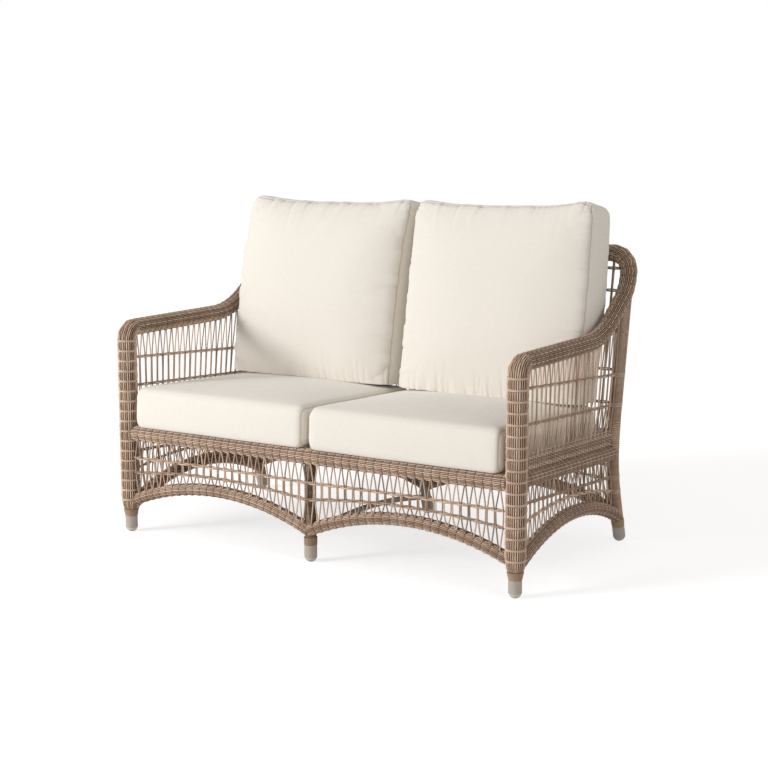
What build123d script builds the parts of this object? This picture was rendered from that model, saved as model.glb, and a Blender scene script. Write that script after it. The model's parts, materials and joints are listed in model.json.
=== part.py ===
from build123d import *
import os
from math import atan2, cos, hypot, radians, sin, sqrt, tan

# Woven patio loveseat. Millimetres, +X to the viewer's right, +Y to the back, +Z up.
# The origin is on the floor under the middle of the whole object.

# Driving dimensions
overall_width = 1432
overall_depth = 797
arm_axis_height = 652
top_rail_axis_height = 893
foot_row_spacing = 716
seat_front_height = 347
seat_slope = 2.9

# Aluminium tubes
main_tube_diameter = 32
brace_tube_diameter = 25
stretcher_diameter = 18
tube_wall = 2

# Woven covers and wraps
post_cover_diameter = 62
arm_cover_diameter = 55
front_rail_cover_diameter = 52
side_rail_cover_diameter = 46
front_arch_cover_diameter = 40
side_arch_cover_diameter = 44
rear_leg_wrap_diameter = 39
center_leg_wrap_diameter = 36
cover_bore_clearance = 0.15

# Arm line: post corner, swoop up to the back, corner into the top rail
post_corner_radius = 36
swoop_angle = 35
swoop_radius = 290
knee_drop = 105
knee_radius = 104
upright_angle = 85
top_corner_radius = 54

# Rear legs: splayed below, bowed at the waist, leaning back above
waist_height = 262
waist_forward = 83
waist_bend_radius = 500
leg_head_set_in = 12
center_leg_setback = 8
rail_end_inset = 6

# Arches under the panels, and the arched stretcher between the middle legs
front_arch_peak_height = 172
front_arch_rise = 75
side_arch_peak_height = 163.5
side_arch_rise = 82
arch_run_on = 30
stretcher_front_height = 85
stretcher_middle_height = 98
stretcher_rear_height = 54

# Lattice panels: paired strands between twined rows
strand_pitch = 27.2
strand_width = 4
bundle_width = 8
row_width = 9
lattice_thickness = 4
lattice_border = 2
front_lattice_offset = 12
band_thickness = 8
band_rise = 47
front_lower_row_height = 191
front_lower_row_bow = 24
front_upper_row_height = 243
front_upper_row_bow = 4
side_lower_row_front_height = 198
side_lower_row_rear_height = 170
side_lower_row_bow = 32
side_upper_row_front_height = 256
side_upper_row_rear_height = 217
arm_lower_row_front_height = 477
arm_lower_row_rear_height = 441
arm_upper_row_front_height = 578
arm_upper_row_rear_height = 532
back_first_row_height = 443
back_second_row_height = 543
back_third_row_height = 662
back_fourth_row_height = 781
back_top_row_height = 848

# Feet
hem_height = 75
hem_diameter = 50
hem_taper_top_height = 112
binding_bottom_height = 52
binding_top_diameter = 42
binding_bottom_diameter = 40.4
sleeve_diameter = 38.4
glide_height = 14
glide_ball_radius = 19.2
glide_sole_diameter = 14.4
glide_stem_length = 22
glide_stem_clearance = 0.1

# Seat deck: bearers and webbing
bearer_spacing = 342
strap_width = 50
strap_thickness = 2
strap_pitch = 100
strap_count = 12
cross_strap_pitch = 115
cross_strap_count = 5
strap_landing = 6

# Seat cushions
seat_cushion_width = 648
seat_cushion_depth = 640
seat_cushion_thickness = 130
seat_cushion_gap = 4
seat_cushion_overhang = 5
seat_crown = 12
seat_drawn_in = 3
seat_corner_radius = 26
seat_edge_rounding = 16
rest_clearance = 0.3

# Back cushions
back_cushion_width = 625
back_cushion_boxing = 158
back_cushion_gap = 24
back_cushion_shift = 8
back_cushion_lean = 10.5
back_cushion_top_height = 1046
back_cushion_sink = 40
back_front_crown = 52
back_rear_crown = 15
back_drawn_in = 14
back_corner_radius = 42

# Cushion cloth and zips
cover_cloth = 1.6
filling_clearance = 0.3
zip_length = 400
zip_tape_width = 24
zip_coil_width = 5
zip_coil_height = 2
zip_slider_length = 12
zip_slider_width = 9
zip_slider_thickness = 4
zip_slider_clearance = 0.4
back_zip_height = 130

# Shares of a cushion's sizes: how far each layer of its swelling is in from the outline
seat_side_shares = ((0, 1), (0.05, 0.4), (0.13, 0.08), (0.3, 0), (0.7, 0), (0.87, 0.08), (0.95, 0.4), (1, 1))
seat_crown_shares = ((0.5, 0.25), (0.85, 0.45), (1, 0.7))
back_rear_shares = ((1, 0.3), (0.75, 0.13), (0.3, 0.03), (0, 0))
back_front_shares = ((0, 0), (0.3, 0.04), (0.62, 0.13), (0.88, 0.3), (1, 0.55))

# Places that follow from the sizes above
leg_x = overall_width / 2 - post_cover_diameter / 2
front_y = -overall_depth / 2 + post_cover_diameter / 2
rear_foot_y = front_y + foot_row_spacing
top_rail_y = overall_depth / 2 - arm_cover_diameter / 2
knee_y = top_rail_y - knee_drop / tan(radians(upright_angle))
knee_z = top_rail_axis_height - knee_drop
swoop_foot_y = knee_y - (knee_z - arm_axis_height) / tan(radians(swoop_angle))
leg_head_y = knee_y - leg_head_set_in
waist_y = rear_foot_y - waist_forward
slope = tan(radians(seat_slope))
sides = (("left", -1), ("right", 1))
parts = {}


def seat_height(y):
    """Height of the plane that the seat cushions rest on."""
    return seat_front_height - slope * (y - front_y)


# The rear leg's line: two straights and one arc, in an upright plane.
lower_run = (rear_foot_y - waist_y, -waist_height)
upper_run = (leg_head_y - waist_y, knee_z - waist_height)
lower_unit = [value / hypot(*lower_run) for value in lower_run]
upper_unit = [value / hypot(*upper_run) for value in upper_run]
bisector = [lower + upper for lower, upper in zip(lower_unit, upper_unit)]
crossing = lower_unit[0] * upper_unit[1] - lower_unit[1] * upper_unit[0]
along = lower_unit[0] * upper_unit[0] + lower_unit[1] * upper_unit[1]
half_opening = abs(atan2(crossing, along)) / 2
bow_reach = waist_bend_radius / sin(half_opening) / hypot(*bisector)
bow_center_y = waist_y + bisector[0] * bow_reach
bow_center_z = waist_height + bisector[1] * bow_reach
bow_tangent = waist_bend_radius / tan(half_opening)
bow_low_z = waist_height + lower_unit[1] * bow_tangent
bow_high_z = waist_height + upper_unit[1] * bow_tangent
back_lean = upper_run[0] / upper_run[1]
foot_splay = lower_run[0] / -lower_run[1]


def rear_leg_y(z):
    """Where the rear leg's axis is at a height."""
    if z < bow_low_z:
        return rear_foot_y - z * foot_splay
    if z > bow_high_z:
        return waist_y + (z - waist_height) * back_lean
    return bow_center_y - sqrt(waist_bend_radius ** 2 - (z - bow_center_z) ** 2)


front_rail_z = seat_front_height - front_rail_cover_diameter / 2
rear_rail_z = seat_height(rear_leg_y(seat_front_height)) - side_rail_cover_diameter / 2
rear_rail_y = rear_leg_y(rear_rail_z)

# The rear lower panel leans with the splayed stretch of the legs.
rear_arch_foot_z = front_arch_peak_height - front_arch_rise
rear_panel_angle = atan2(rear_leg_y(rear_arch_foot_z) - rear_rail_y, rear_rail_z - rear_arch_foot_z)
rear_panel_foot_y = rear_rail_y + rear_rail_z * tan(rear_panel_angle)
rear_stretch = 1 / cos(rear_panel_angle)
back_stretch = hypot(1, back_lean)

front_plane = Plane(origin=(0, front_y, 0), x_dir=(1, 0, 0), z_dir=(0, -1, 0))
rear_plane = Plane(origin=(0, rear_panel_foot_y, 0), x_dir=(1, 0, 0),
                   z_dir=(0, -cos(rear_panel_angle), -sin(rear_panel_angle)))
back_plane = Plane(origin=(0, waist_y - waist_height * back_lean, 0), x_dir=(1, 0, 0),
                   z_dir=(0, -1, back_lean))
deck_plane = Plane(origin=(0, front_y, seat_front_height), x_dir=(1, 0, 0), z_dir=(0, slope, 1))
deck_length = (rear_rail_y - front_y) * hypot(1, slope)


def side_plane(side):
    """Upright plane through the legs of one side; its own x runs to the back."""
    return Plane(origin=(side * leg_x, 0, 0), x_dir=(0, 1, 0), z_dir=(1, 0, 0))


# Shapes used all over
def straight(start, end):
    return Wire([Edge.make_line(start, end)])


def rod(path, diameter):
    """A round bar along a path."""
    start = Plane(origin=path @ 0, z_dir=path % 0)
    return sweep(start * Circle(diameter / 2), path=path)


def tube(path, outer_diameter, inner_diameter):
    """A round tube along a path."""
    start = Plane(origin=path @ 0, z_dir=path % 0)
    return sweep(start * (Circle(outer_diameter / 2) - Circle(inner_diameter / 2)), path=path)


def meet(one, other):
    """Whether the boxes round two shapes reach into each other."""
    a, b = one.bounding_box(), other.bounding_box()
    lows = [max(low, high) for low, high in zip(a.min, b.min)]
    highs = [min(low, high) for low, high in zip(a.max, b.max)]
    return all(high - low > cover_bore_clearance / 2 for low, high in zip(lows, highs))


def trim(shape, cutters):
    """What is left of a piece outside the cutters: its one main body."""
    for cutter in cutters:
        if meet(shape, cutter):
            shape = max((shape - cutter).solids(), key=lambda solid: solid.volume)
    return shape


def beyond(side):
    """The space on the other side of the middle plane."""
    block = Box(overall_width, 2 * overall_depth, 2 * top_rail_axis_height)
    return Pos(-side * overall_width / 2, 0, 0) * block


def below(plane, height):
    """The space under a height over the deck."""
    block = Box(2 * overall_width, 2 * overall_width, overall_width)
    return plane * Pos(0, 0, height - overall_width / 2) * block


# Lines of the frame
def arm_line(side):
    """Post, arm, swoop and top corner as the edges of one bent line."""
    x = side * leg_x
    inner_x = side * (leg_x - 2 * top_corner_radius)
    points = [(x, front_y, glide_height), (x, front_y, arm_axis_height),
              (x, swoop_foot_y, arm_axis_height), (x, knee_y, knee_z),
              (x, top_rail_y, top_rail_axis_height), (inner_x, top_rail_y, top_rail_axis_height)]
    radii = [post_corner_radius, swoop_radius, knee_radius, top_corner_radius]
    return list(FilletPolyline(points, radius=radii).edges())[:-1]


def rear_leg_line(x, foot_z, head_z, forward=0):
    """A rear leg's line between two heights."""
    arc_top = min(head_z, bow_high_z)
    heights = (foot_z, bow_low_z, (bow_low_z + arc_top) / 2, arc_top)
    foot, start, middle, end = [(x, rear_leg_y(z) - forward, z) for z in heights]
    edges = [Edge.make_line(foot, start), ThreePointArc(start, middle, end).edge()]
    if head_z > bow_high_z:
        edges.append(Edge.make_line(end, (x, rear_leg_y(head_z) - forward, head_z)))
    return Wire(edges)


def radius_of(half_span, rise):
    return (half_span ** 2 + rise ** 2) / (2 * rise)


front_arch_half = leg_x / 2
front_arch_radius = radius_of(front_arch_half, front_arch_rise)
side_arch_end_y = rear_leg_y(side_arch_peak_height - side_arch_rise)
side_arch_half = (side_arch_end_y - front_y) / 2
side_arch_middle = (side_arch_end_y + front_y) / 2
side_arch_radius = radius_of(side_arch_half, side_arch_rise)


def arc_height(peak, radius, offset, outward=0):
    """Height of an arch, or of a line outside it, at a distance from its middle."""
    return peak - radius + sqrt((radius + outward) ** 2 - offset ** 2)


def front_arch_height(offset):
    return arc_height(front_arch_peak_height, front_arch_radius, offset)


def side_arch_height(offset):
    return arc_height(side_arch_peak_height, side_arch_radius, offset)


def front_arch_line(plane, side, stretch=1):
    """An arch from a corner leg to a little past the middle plane."""
    ends = ((leg_x, front_arch_height(front_arch_half)),
            (front_arch_half, front_arch_peak_height),
            (-arch_run_on, front_arch_height(front_arch_half + arch_run_on)))
    points = [plane.from_local_coords((side * s, z * stretch, 0)) for s, z in ends]
    return Wire([ThreePointArc(*points).edge()])


def side_arch_line(side):
    ends = ((front_y, side_arch_height(side_arch_half)),
            (side_arch_middle, side_arch_peak_height),
            (side_arch_end_y, side_arch_height(side_arch_half)))
    points = [side_plane(side).from_local_coords((s, z, 0)) for s, z in ends]
    return Wire([ThreePointArc(*points).edge()])


center_leg_y = front_y + center_leg_setback
rear_center_y = rear_leg_y(stretcher_rear_height) - center_leg_setback
front_rail_line = straight((-leg_x, front_y, front_rail_z), (leg_x, front_y, front_rail_z))
rear_rail_line = straight((-leg_x, rear_rail_y, rear_rail_z), (leg_x, rear_rail_y, rear_rail_z))
center_leg_line = straight((0, center_leg_y, glide_height), (0, center_leg_y, front_rail_z))
rear_center_leg_line = rear_leg_line(0, glide_height, rear_rail_z, forward=center_leg_setback)
stretcher_line = Wire([ThreePointArc(
    (0, center_leg_y, stretcher_front_height),
    (0, (center_leg_y + rear_center_y) / 2, stretcher_middle_height),
    (0, rear_center_y, stretcher_rear_height)).edge()])


def side_rail_line(side):
    x = side * leg_x
    drop = side_rail_cover_diameter / 2
    ends = (front_y, rear_rail_y - rail_end_inset)
    return straight(*[(x, y, seat_height(y) - drop) for y in ends])


def bearer_line(place):
    depth = 2 * strap_thickness + brace_tube_diameter / 2
    ends = ((place * bearer_spacing, y, -depth) for y in (0, deck_length))
    return straight(*[deck_plane.from_local_coords(end) for end in ends])


# Frame tubes. Each is cut to the tubes before it, as they are coped and welded.
arm_edges = {name: arm_line(side) for name, side in sides}
tube_groups = {
    "left_arm_tube": [(Wire(arm_edges["left"]), main_tube_diameter)],
    "right_arm_tube": [(Wire(arm_edges["right"]), main_tube_diameter)],
    "top_rail_tube": [(straight(arm_edges["left"][-1] @ 1, arm_edges["right"][-1] @ 1),
                       main_tube_diameter)],
    "rear_leg_tubes": [(rear_leg_line(side * leg_x, glide_height, knee_z), main_tube_diameter)
                       for _, side in sides],
    "seat_rail_tubes": [(line, main_tube_diameter) for line in
                        (front_rail_line, rear_rail_line, side_rail_line(-1), side_rail_line(1))],
    "front_center_leg_tube": [(center_leg_line, main_tube_diameter)],
    "rear_center_leg_tube": [(rear_center_leg_line, main_tube_diameter)],
    "seat_bearer_tubes": [(bearer_line(place), brace_tube_diameter) for place in (-1, 0, 1)],
    "arch_tubes": [(line, brace_tube_diameter, *bounds) for _, side in sides for line, *bounds in
                   ((front_arch_line(front_plane, side), beyond(side)),
                    (side_arch_line(side),),
                    (front_arch_line(rear_plane, side, rear_stretch), beyond(side)))],
    "center_stretcher_tube": [(stretcher_line, stretcher_diameter)],
}

rods = {}
for name, members in tube_groups.items():
    solids = []
    for place, (path, diameter, *bounds) in enumerate(members):
        bar = tube(path, diameter, diameter - 2 * tube_wall)
        solids.append(trim(bar, bounds + list(rods.values())))
        rods[name, place] = trim(rod(path, diameter), bounds)
    parts[name] = Compound(children=solids) if len(solids) > 1 else solids[0]


main_bore = main_tube_diameter + 2 * cover_bore_clearance
brace_bore = brace_tube_diameter + 2 * cover_bore_clearance


# Feet: each leg has a ball glide on a stem, a plain sleeve and, under a wrap, a binding.
def foot(x, y, splay):
    """A plane on a leg's axis at the floor, its normal up the leg, and its stretch."""
    return Plane(origin=(x, y, 0), x_dir=(1, 0, 0), z_dir=(0, -splay, 1)), hypot(1, splay)


feet = [(foot(side * leg_x, front_y, 0), hem_diameter) for _, side in sides]
feet += [(foot(side * leg_x, rear_foot_y, foot_splay), binding_top_diameter) for _, side in sides]
feet += [(foot(0, center_leg_y, 0), binding_top_diameter),
         (foot(0, rear_foot_y - center_leg_setback, foot_splay), 0)]
ball_height = sqrt(glide_ball_radius ** 2 - (glide_sole_diameter / 2) ** 2)
stem_diameter = main_tube_diameter - 2 * tube_wall - 2 * glide_stem_clearance
floor = Pos(0, 0, -overall_width / 2) * Box(2 * overall_width, 2 * overall_width, overall_width)
glides, sleeves, bindings, binding_cones = [], [], [], []
for (plane, stretch), binding_diameter in feet:
    top = glide_height * stretch
    upper = plane * Pos(0, 0, top + overall_width / 2) * Box(*[overall_width] * 3)
    ball = plane * Pos(0, 0, ball_height * stretch) * Sphere(glide_ball_radius)
    stem = plane * Pos(0, 0, top + glide_stem_length / 2) * Cylinder(stem_diameter / 2, glide_stem_length)
    glides.append(ball - [upper, floor] + stem)
    tall = (binding_bottom_height - glide_height) * stretch
    middle = plane * Pos(0, 0, top + tall / 2)
    sleeves.append(middle * Cylinder(sleeve_diameter / 2, tall)
                   - middle * Cylinder(main_bore / 2, tall))
    if binding_diameter:
        start, end = binding_bottom_height * stretch, hem_height * stretch
        middle = plane * Pos(0, 0, (start + end) / 2)
        cone = middle * Cone(binding_bottom_diameter / 2, binding_diameter / 2, end - start)
        binding_cones.append(cone)
        bindings.append(cone - middle * Cylinder(main_bore / 2, end - start))
parts["glides"] = Compound(children=glides)
parts["foot_sleeves"] = Compound(children=sleeves)
parts["leg_bindings"] = Compound(children=bindings)

# Woven covers: a post cover runs from its hem round the corner to the arm.
def post_line(name, side):
    upright, corner = arm_edges[name][:2]
    start = (side * leg_x, front_y, hem_taper_top_height)
    return Wire([Edge.make_line(start, upright @ 1), corner])


def hem(side):
    """The taper between the hem and the full width of a post cover."""
    tall = hem_taper_top_height - hem_height
    taper = Cone(hem_diameter / 2, post_cover_diameter / 2, tall)
    return Pos(side * leg_x, front_y, hem_height + tall / 2) * taper


outers = {("binding", place): cone for place, cone in enumerate(binding_cones)}
for name, side in sides:
    shell = hem(side) + rod(post_line(name, side), post_cover_diameter)
    bore = rod(Wire(arm_edges[name][:2]), main_bore)
    others = [bar for key, bar in rods.items() if key[0] != f"{name}_arm_tube"]
    outers[f"{name}_post_weave"] = shell
    parts[f"{name}_post_weave"] = trim(shell, [bore] + others)

# The other covers, in the order in which one gives way to the next. Each entry has its
# tube's name and place, its path, its outer diameter, its bore and what else bounds it.
# A cover gives way to the covers before it and to the tubes that are still bare.
wrap_radius = rear_leg_wrap_diameter / 2
rail_end_x = leg_x - wrap_radius + rail_end_inset
rail_end_y = rear_rail_y - wrap_radius + rail_end_inset
front_rail_ends = [(side * leg_x, front_y, front_rail_z) for _, side in sides]
rear_rail_ends = [(side * rail_end_x, rear_rail_y, rear_rail_z) for _, side in sides]


def side_cover_line(side):
    x = side * leg_x
    drop = side_rail_cover_diameter / 2
    return straight(*[(x, y, seat_height(y) - drop) for y in (front_y, rail_end_y)])


cover_groups = {
    "left_arm_weave": [(("left_arm_tube", 0), Wire(arm_edges["left"][2:]),
                        arm_cover_diameter, main_bore)],
    "right_arm_weave": [(("right_arm_tube", 0), Wire(arm_edges["right"][2:]),
                         arm_cover_diameter, main_bore)],
    "top_rail_weave": [(("top_rail_tube", 0), tube_groups["top_rail_tube"][0][0],
                        arm_cover_diameter, main_bore)],
    "rear_leg_wraps": [(("rear_leg_tubes", place), rear_leg_line(side * leg_x, hem_height, knee_z),
                        rear_leg_wrap_diameter, main_bore)
                       for place, (_, side) in enumerate(sides)],
    "front_rail_weave": [(("seat_rail_tubes", 0), straight(*front_rail_ends),
                          front_rail_cover_diameter, main_bore)],
    "front_center_leg_wrap": [(("front_center_leg_tube", 0),
                               straight((0, center_leg_y, hem_height), center_leg_line @ 1),
                               center_leg_wrap_diameter, main_bore)],
    "rear_rail_weave": [(("seat_rail_tubes", 1), straight(*rear_rail_ends),
                         side_rail_cover_diameter, main_bore)],
    "left_rail_weave": [(("seat_rail_tubes", 2), side_cover_line(-1),
                         side_rail_cover_diameter, main_bore)],
    "right_rail_weave": [(("seat_rail_tubes", 3), side_cover_line(1),
                          side_rail_cover_diameter, main_bore)],
    "left_arch_weave": [(("arch_tubes", 1), side_arch_line(-1),
                         side_arch_cover_diameter, brace_bore)],
    "right_arch_weave": [(("arch_tubes", 4), side_arch_line(1),
                          side_arch_cover_diameter, brace_bore)],
}
for end, first, plane, stretch in (("front", 0, front_plane, 1), ("rear", 2, rear_plane, rear_stretch)):
    for place, (name, side) in enumerate(sides):
        cover_groups[f"{end}_{name}_arch_weave"] = [
            (("arch_tubes", first + 3 * place), front_arch_line(plane, side, stretch),
             front_arch_cover_diameter, brace_bore, beyond(side))]

bare = dict(rods)
for name, members in cover_groups.items():
    solids = []
    for place, (own, path, outer, bore, *bounds) in enumerate(members):
        del bare[own]
        cutters = bounds + list(outers.values()) + list(bare.values())
        solids.append(trim(tube(path, outer, bore), cutters))
        outers[name, place] = trim(rod(path, outer), bounds)
    parts[name] = Compound(children=solids) if len(solids) > 1 else solids[0]


# Lattices: flat panels of paired strands between twined rows. A share runs from 0 at
# a panel's first bundle to 1 at its last; a level gives a height for each share.
def level(first, last, bow=0):
    """A height from end to end, with a bow in the middle."""
    return lambda share: first + (last - first) * share + bow * 4 * share * (1 - share)


def raised(base, rise):
    return lambda share: base(share) + rise


def fixed(value):
    return lambda height: value


def between_rows(bottom, rows):
    """The tiers' edges in order from a bottom edge up to just under the last row."""
    edges = [bottom]
    for row in rows:
        edges += [raised(row, -row_width / 2), raised(row, row_width / 2)]
    return edges


def panel(plane, start, end, outline, tiers, count, lift=0, stretch=1, thickness=lattice_thickness):
    """A flat panel between two levels, with a row of gaps in each tier."""
    def place(share, height, reach=0):
        s = start(height) + share * (end(height) - start(height)) + reach
        return plane.from_local_coords((s, height * stretch, lift - thickness / 2))

    def wire(corners):
        return Wire.make_polygon([place(*corner) for corner in corners])

    shares = [cell / count for cell in range(count + 1)]
    reach = {0: -strand_pitch / 2, count: strand_pitch / 2}
    low, high = [[(share, edge(share), reach.get(cell, 0)) for cell, share in enumerate(shares)]
                 for edge in outline]
    gaps = []
    for low_edge, high_edge, kind in tiers:
        apex, fan = (high_edge, low_edge) if kind == "fan below" else (low_edge, high_edge)
        for cell, (first, last) in enumerate(zip(shares, shares[1:])):
            tall = abs(fan(first) - apex(first)) * stretch
            width = end(fan(first)) - start(fan(first))
            side_step = bundle_width / 2 / width
            if kind == "straight":
                left, right = first + side_step, last - side_step
                gaps.append([(left, apex(left)), (right, apex(right)),
                             (right, fan(right)), (left, fan(left))])
                continue
            lean = width / count / 2 - bundle_width / 4
            half_strand = strand_width / 2 * hypot(1, lean / tall)
            step = bundle_width / 4 / width + half_strand / width
            middle = (first + last) / 2
            tip = fan(middle) + half_strand / lean * (apex(middle) - fan(middle))
            gaps.append([(first + step, apex(first)), (last - step, apex(last)), (middle, tip)])
            if cell:
                opening = max(0, (half_strand - bundle_width / 4) / lean)
                tip = apex(first) + opening * (fan(first) - apex(first))
                spread = 1 / count / 2 - half_strand / width
                gaps.append([(first, tip), (first - spread, fan(first - spread)),
                             (first + spread, fan(first + spread))])
    face = Face(wire(low + high[::-1]), [wire(gap) for gap in gaps])
    return extrude(face, amount=thickness, dir=plane.z_dir)


def woven(shape):
    """A panel cut to the covers and bare tubes that it is woven onto."""
    return trim(shape, list(outers.values()) + list(bare.values()))


# Front and rear lower panels, each over both bays
def over_bays(end, height_at):
    """A level from a function of the distance to the middle of the nearest bay."""
    return lambda share: height_at(abs(abs(2 * share - 1) * end - front_arch_half))


def bay_row(end, height, bow):
    return over_bays(end, lambda offset: height + bow * (1 - (offset / front_arch_half) ** 2))


fans = ("fan below", "straight", "fan above")
arch_rim = front_arch_cover_diameter / 2 + lattice_border
for name, plane, lift, end, stretch, rail_z, rail_cover in (
        ("front_lattice", front_plane, front_lattice_offset, leg_x - post_cover_diameter / 2,
         1, front_rail_z, front_rail_cover_diameter),
        ("rear_lattice", rear_plane, -front_lattice_offset, leg_x - wrap_radius,
         rear_stretch, rear_rail_z, side_rail_cover_diameter)):
    arch_top = over_bays(end, lambda offset: arc_height(front_arch_peak_height,
                                                        front_arch_radius, offset, arch_rim))
    rows = [bay_row(end, front_lower_row_height, front_lower_row_bow),
            bay_row(end, front_upper_row_height, front_upper_row_bow)]
    edges = between_rows(arch_top, rows) + [level(*[rail_z - rail_cover / 2 - lattice_border] * 2)]
    outline = (over_bays(end, front_arch_height), level(rail_z, rail_z))
    tiers = [(edges[2 * tier], edges[2 * tier + 1], kind) for tier, kind in enumerate(fans)]
    count = 2 * round(end / strand_pitch)
    shape = panel(plane, fixed(-end), fixed(end), outline, tiers, count, lift, stretch)
    parts[name] = woven(shape)

# Side panels: a lower lattice, a closed band above the rail, a lattice under the arm
side_start = front_y + post_cover_diameter / 2
swoop_turn = radians(swoop_angle)
swoop_start_y = swoop_foot_y - swoop_radius * tan(swoop_turn / 2)


def arm_height(y, drop=0):
    """Height of the arm's axis, or of a line at a distance under it."""
    reach = swoop_radius + drop
    if y < swoop_start_y:
        return arm_axis_height - drop
    if y < swoop_start_y + reach * sin(swoop_turn):
        return arm_axis_height + swoop_radius - sqrt(reach ** 2 - (y - swoop_start_y) ** 2)
    return arm_axis_height + (y - swoop_foot_y) * tan(swoop_turn) - drop / cos(swoop_turn)


def leg_front(height):
    """How far back a side panel reaches: the front of the rear leg's wrap."""
    return rear_leg_y(height) - wrap_radius


def along_side(height_at, sample_height):
    """A level from a function of y, at about one height of the panel."""
    return lambda share: height_at(side_start + share * (leg_front(sample_height) - side_start))


side_count = round((leg_front(side_arch_peak_height) - side_start) / strand_pitch)
side_arch_rim = side_arch_cover_diameter / 2 + lattice_border
side_arch_top = along_side(lambda y: arc_height(side_arch_peak_height, side_arch_radius,
                                                y - side_arch_middle, side_arch_rim),
                           side_arch_peak_height)
side_arch_axis = along_side(side_arch_height, side_arch_peak_height)
rail_axis = along_side(lambda y: seat_height(y) - side_rail_cover_diameter / 2, front_rail_z)
rail_under = raised(rail_axis, -side_rail_cover_diameter / 2 - lattice_border)
band_top = along_side(lambda y: seat_height(y) + band_rise, seat_front_height)
arm_axis = along_side(arm_height, arm_axis_height)
arm_under = along_side(lambda y: arm_height(y, arm_cover_diameter / 2 + lattice_border),
                       arm_axis_height)
lower_rows = [level(side_lower_row_front_height, side_lower_row_rear_height, side_lower_row_bow),
              level(side_upper_row_front_height, side_upper_row_rear_height)]
arm_rows = [level(arm_lower_row_front_height, arm_lower_row_rear_height),
            level(arm_upper_row_front_height, arm_upper_row_rear_height)]
lower_edges = between_rows(side_arch_top, lower_rows) + [rail_under]
arm_edges_up = between_rows(raised(band_top, lattice_border), arm_rows) + [arm_under]
for name, side in sides:
    plane = side_plane(side)
    panels = {
        f"{name}_side_band": ((rail_axis, band_top), [], band_thickness),
        f"{name}_lower_lattice": ((side_arch_axis, rail_axis), lower_edges, lattice_thickness),
        f"{name}_arm_lattice": ((band_top, arm_axis), arm_edges_up, lattice_thickness),
    }
    for key, (outline, edges, thickness) in panels.items():
        tiers = [(edges[2 * tier], edges[2 * tier + 1], kind)
                 for tier, kind in enumerate(fans) if edges]
        shape = panel(plane, fixed(side_start), leg_front, outline, tiers, side_count,
                      thickness=thickness)
        parts[key] = woven(shape)

# Back: a closed band above the rear rail and one tall lattice up to the top rail
back_end = leg_x - wrap_radius
back_band_top = seat_height(rear_rail_y) + band_rise
back_count = round(2 * back_end / strand_pitch)
back_rows = [level(height, height) for height in
             (back_first_row_height, back_second_row_height, back_third_row_height,
              back_fourth_row_height, back_top_row_height)]
back_edges = between_rows(level(*[back_band_top + lattice_border] * 2), back_rows)
back_kinds = ("fan below",) + ("straight",) * (len(back_rows) - 1)
back_tiers = [(back_edges[2 * tier], back_edges[2 * tier + 1], kind)
              for tier, kind in enumerate(back_kinds)]
for name, low, high, tiers, thickness in (
        ("back_band", rear_rail_z, back_band_top, [], band_thickness),
        ("back_lattice", back_band_top, top_rail_axis_height, back_tiers, lattice_thickness)):
    outline = (level(low, low), level(high, high))
    shape = panel(back_plane, fixed(-back_end), fixed(back_end), outline, tiers, back_count,
                  stretch=back_stretch, thickness=thickness)
    parts[name] = woven(shape)


# Seat straps: one layer from front to back over one from side to side
def strap(x, y, length, width, layer):
    middle = Pos(x, y, -(layer + 1 / 2) * strap_thickness)
    return deck_plane * middle * Box(width, length, strap_thickness)


straps = []
run = deck_length - 2 * strap_landing
for place in range(strap_count):
    x = (place - (strap_count - 1) / 2) * strap_pitch
    straps.append(strap(x, deck_length / 2, run, strap_width, 0))
for place in range(cross_strap_count):
    y = deck_length / 2 + (place - (cross_strap_count - 1) / 2) * cross_strap_pitch
    straps.append(strap(0, y, strap_width, 2 * (leg_x - strap_landing), 1))
parts["seat_straps"] = trim(straps[0] + straps[1:], list(outers.values()) + [parts["back_band"]])


# Cushions: lofts of flat layers with hollow sides and rounded corners
def layer(plane, width, height, corner, drawn_in, inset, lift):
    a, b = width / 2 - inset, height / 2 - inset
    turn = corner * (1 - sqrt(1 / 2))
    quarter = [(corner - a, -b), (0, drawn_in - b), (a - corner, -b), (a - turn, turn - b)]
    points = quarter + [(a, corner - b), (a - drawn_in, 0), (a, b - corner), (a - turn, b - turn)]
    points += [(-x, -y) for x, y in points]
    points.append(points[0])
    edges = [ThreePointArc(*points[first:first + 3]).edge() for first in range(0, len(points) - 1, 2)]
    return plane * Pos(0, 0, lift) * make_face(Wire(edges))


def cushion(plane, width, height, corner, drawn_in, layers, shrink=0):
    """A loft through layers of (lift, inset), all its faces moved in by the same amount."""
    first, last = layers[0][0], layers[-1][0]
    squeeze = (last - first - 2 * shrink) / (last - first)
    middle = (first + last) / 2
    sections = [layer(plane, width, height, corner, drawn_in, inset + shrink,
                      middle + (lift - middle) * squeeze) for lift, inset in layers]
    return loft(sections, ruled=True)


filling_shrink = cover_cloth + filling_clearance
seat_rear_y = front_y - front_rail_cover_diameter / 2 - seat_cushion_overhang + seat_cushion_depth
seat_layers = [(share * seat_cushion_thickness, inset * seat_edge_rounding)
               for share, inset in seat_side_shares]
seat_layers += [(seat_cushion_thickness + share * seat_crown, inset * seat_cushion_depth / 2)
                for share, inset in seat_crown_shares]
half_boxing = back_cushion_boxing / 2
back_layers = [(-half_boxing - share * back_rear_crown, inset * back_cushion_width / 2)
               for share, inset in back_rear_shares]
back_layers += [(half_boxing + share * back_front_crown, inset * back_cushion_width / 2)
                for share, inset in back_front_shares]

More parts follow.
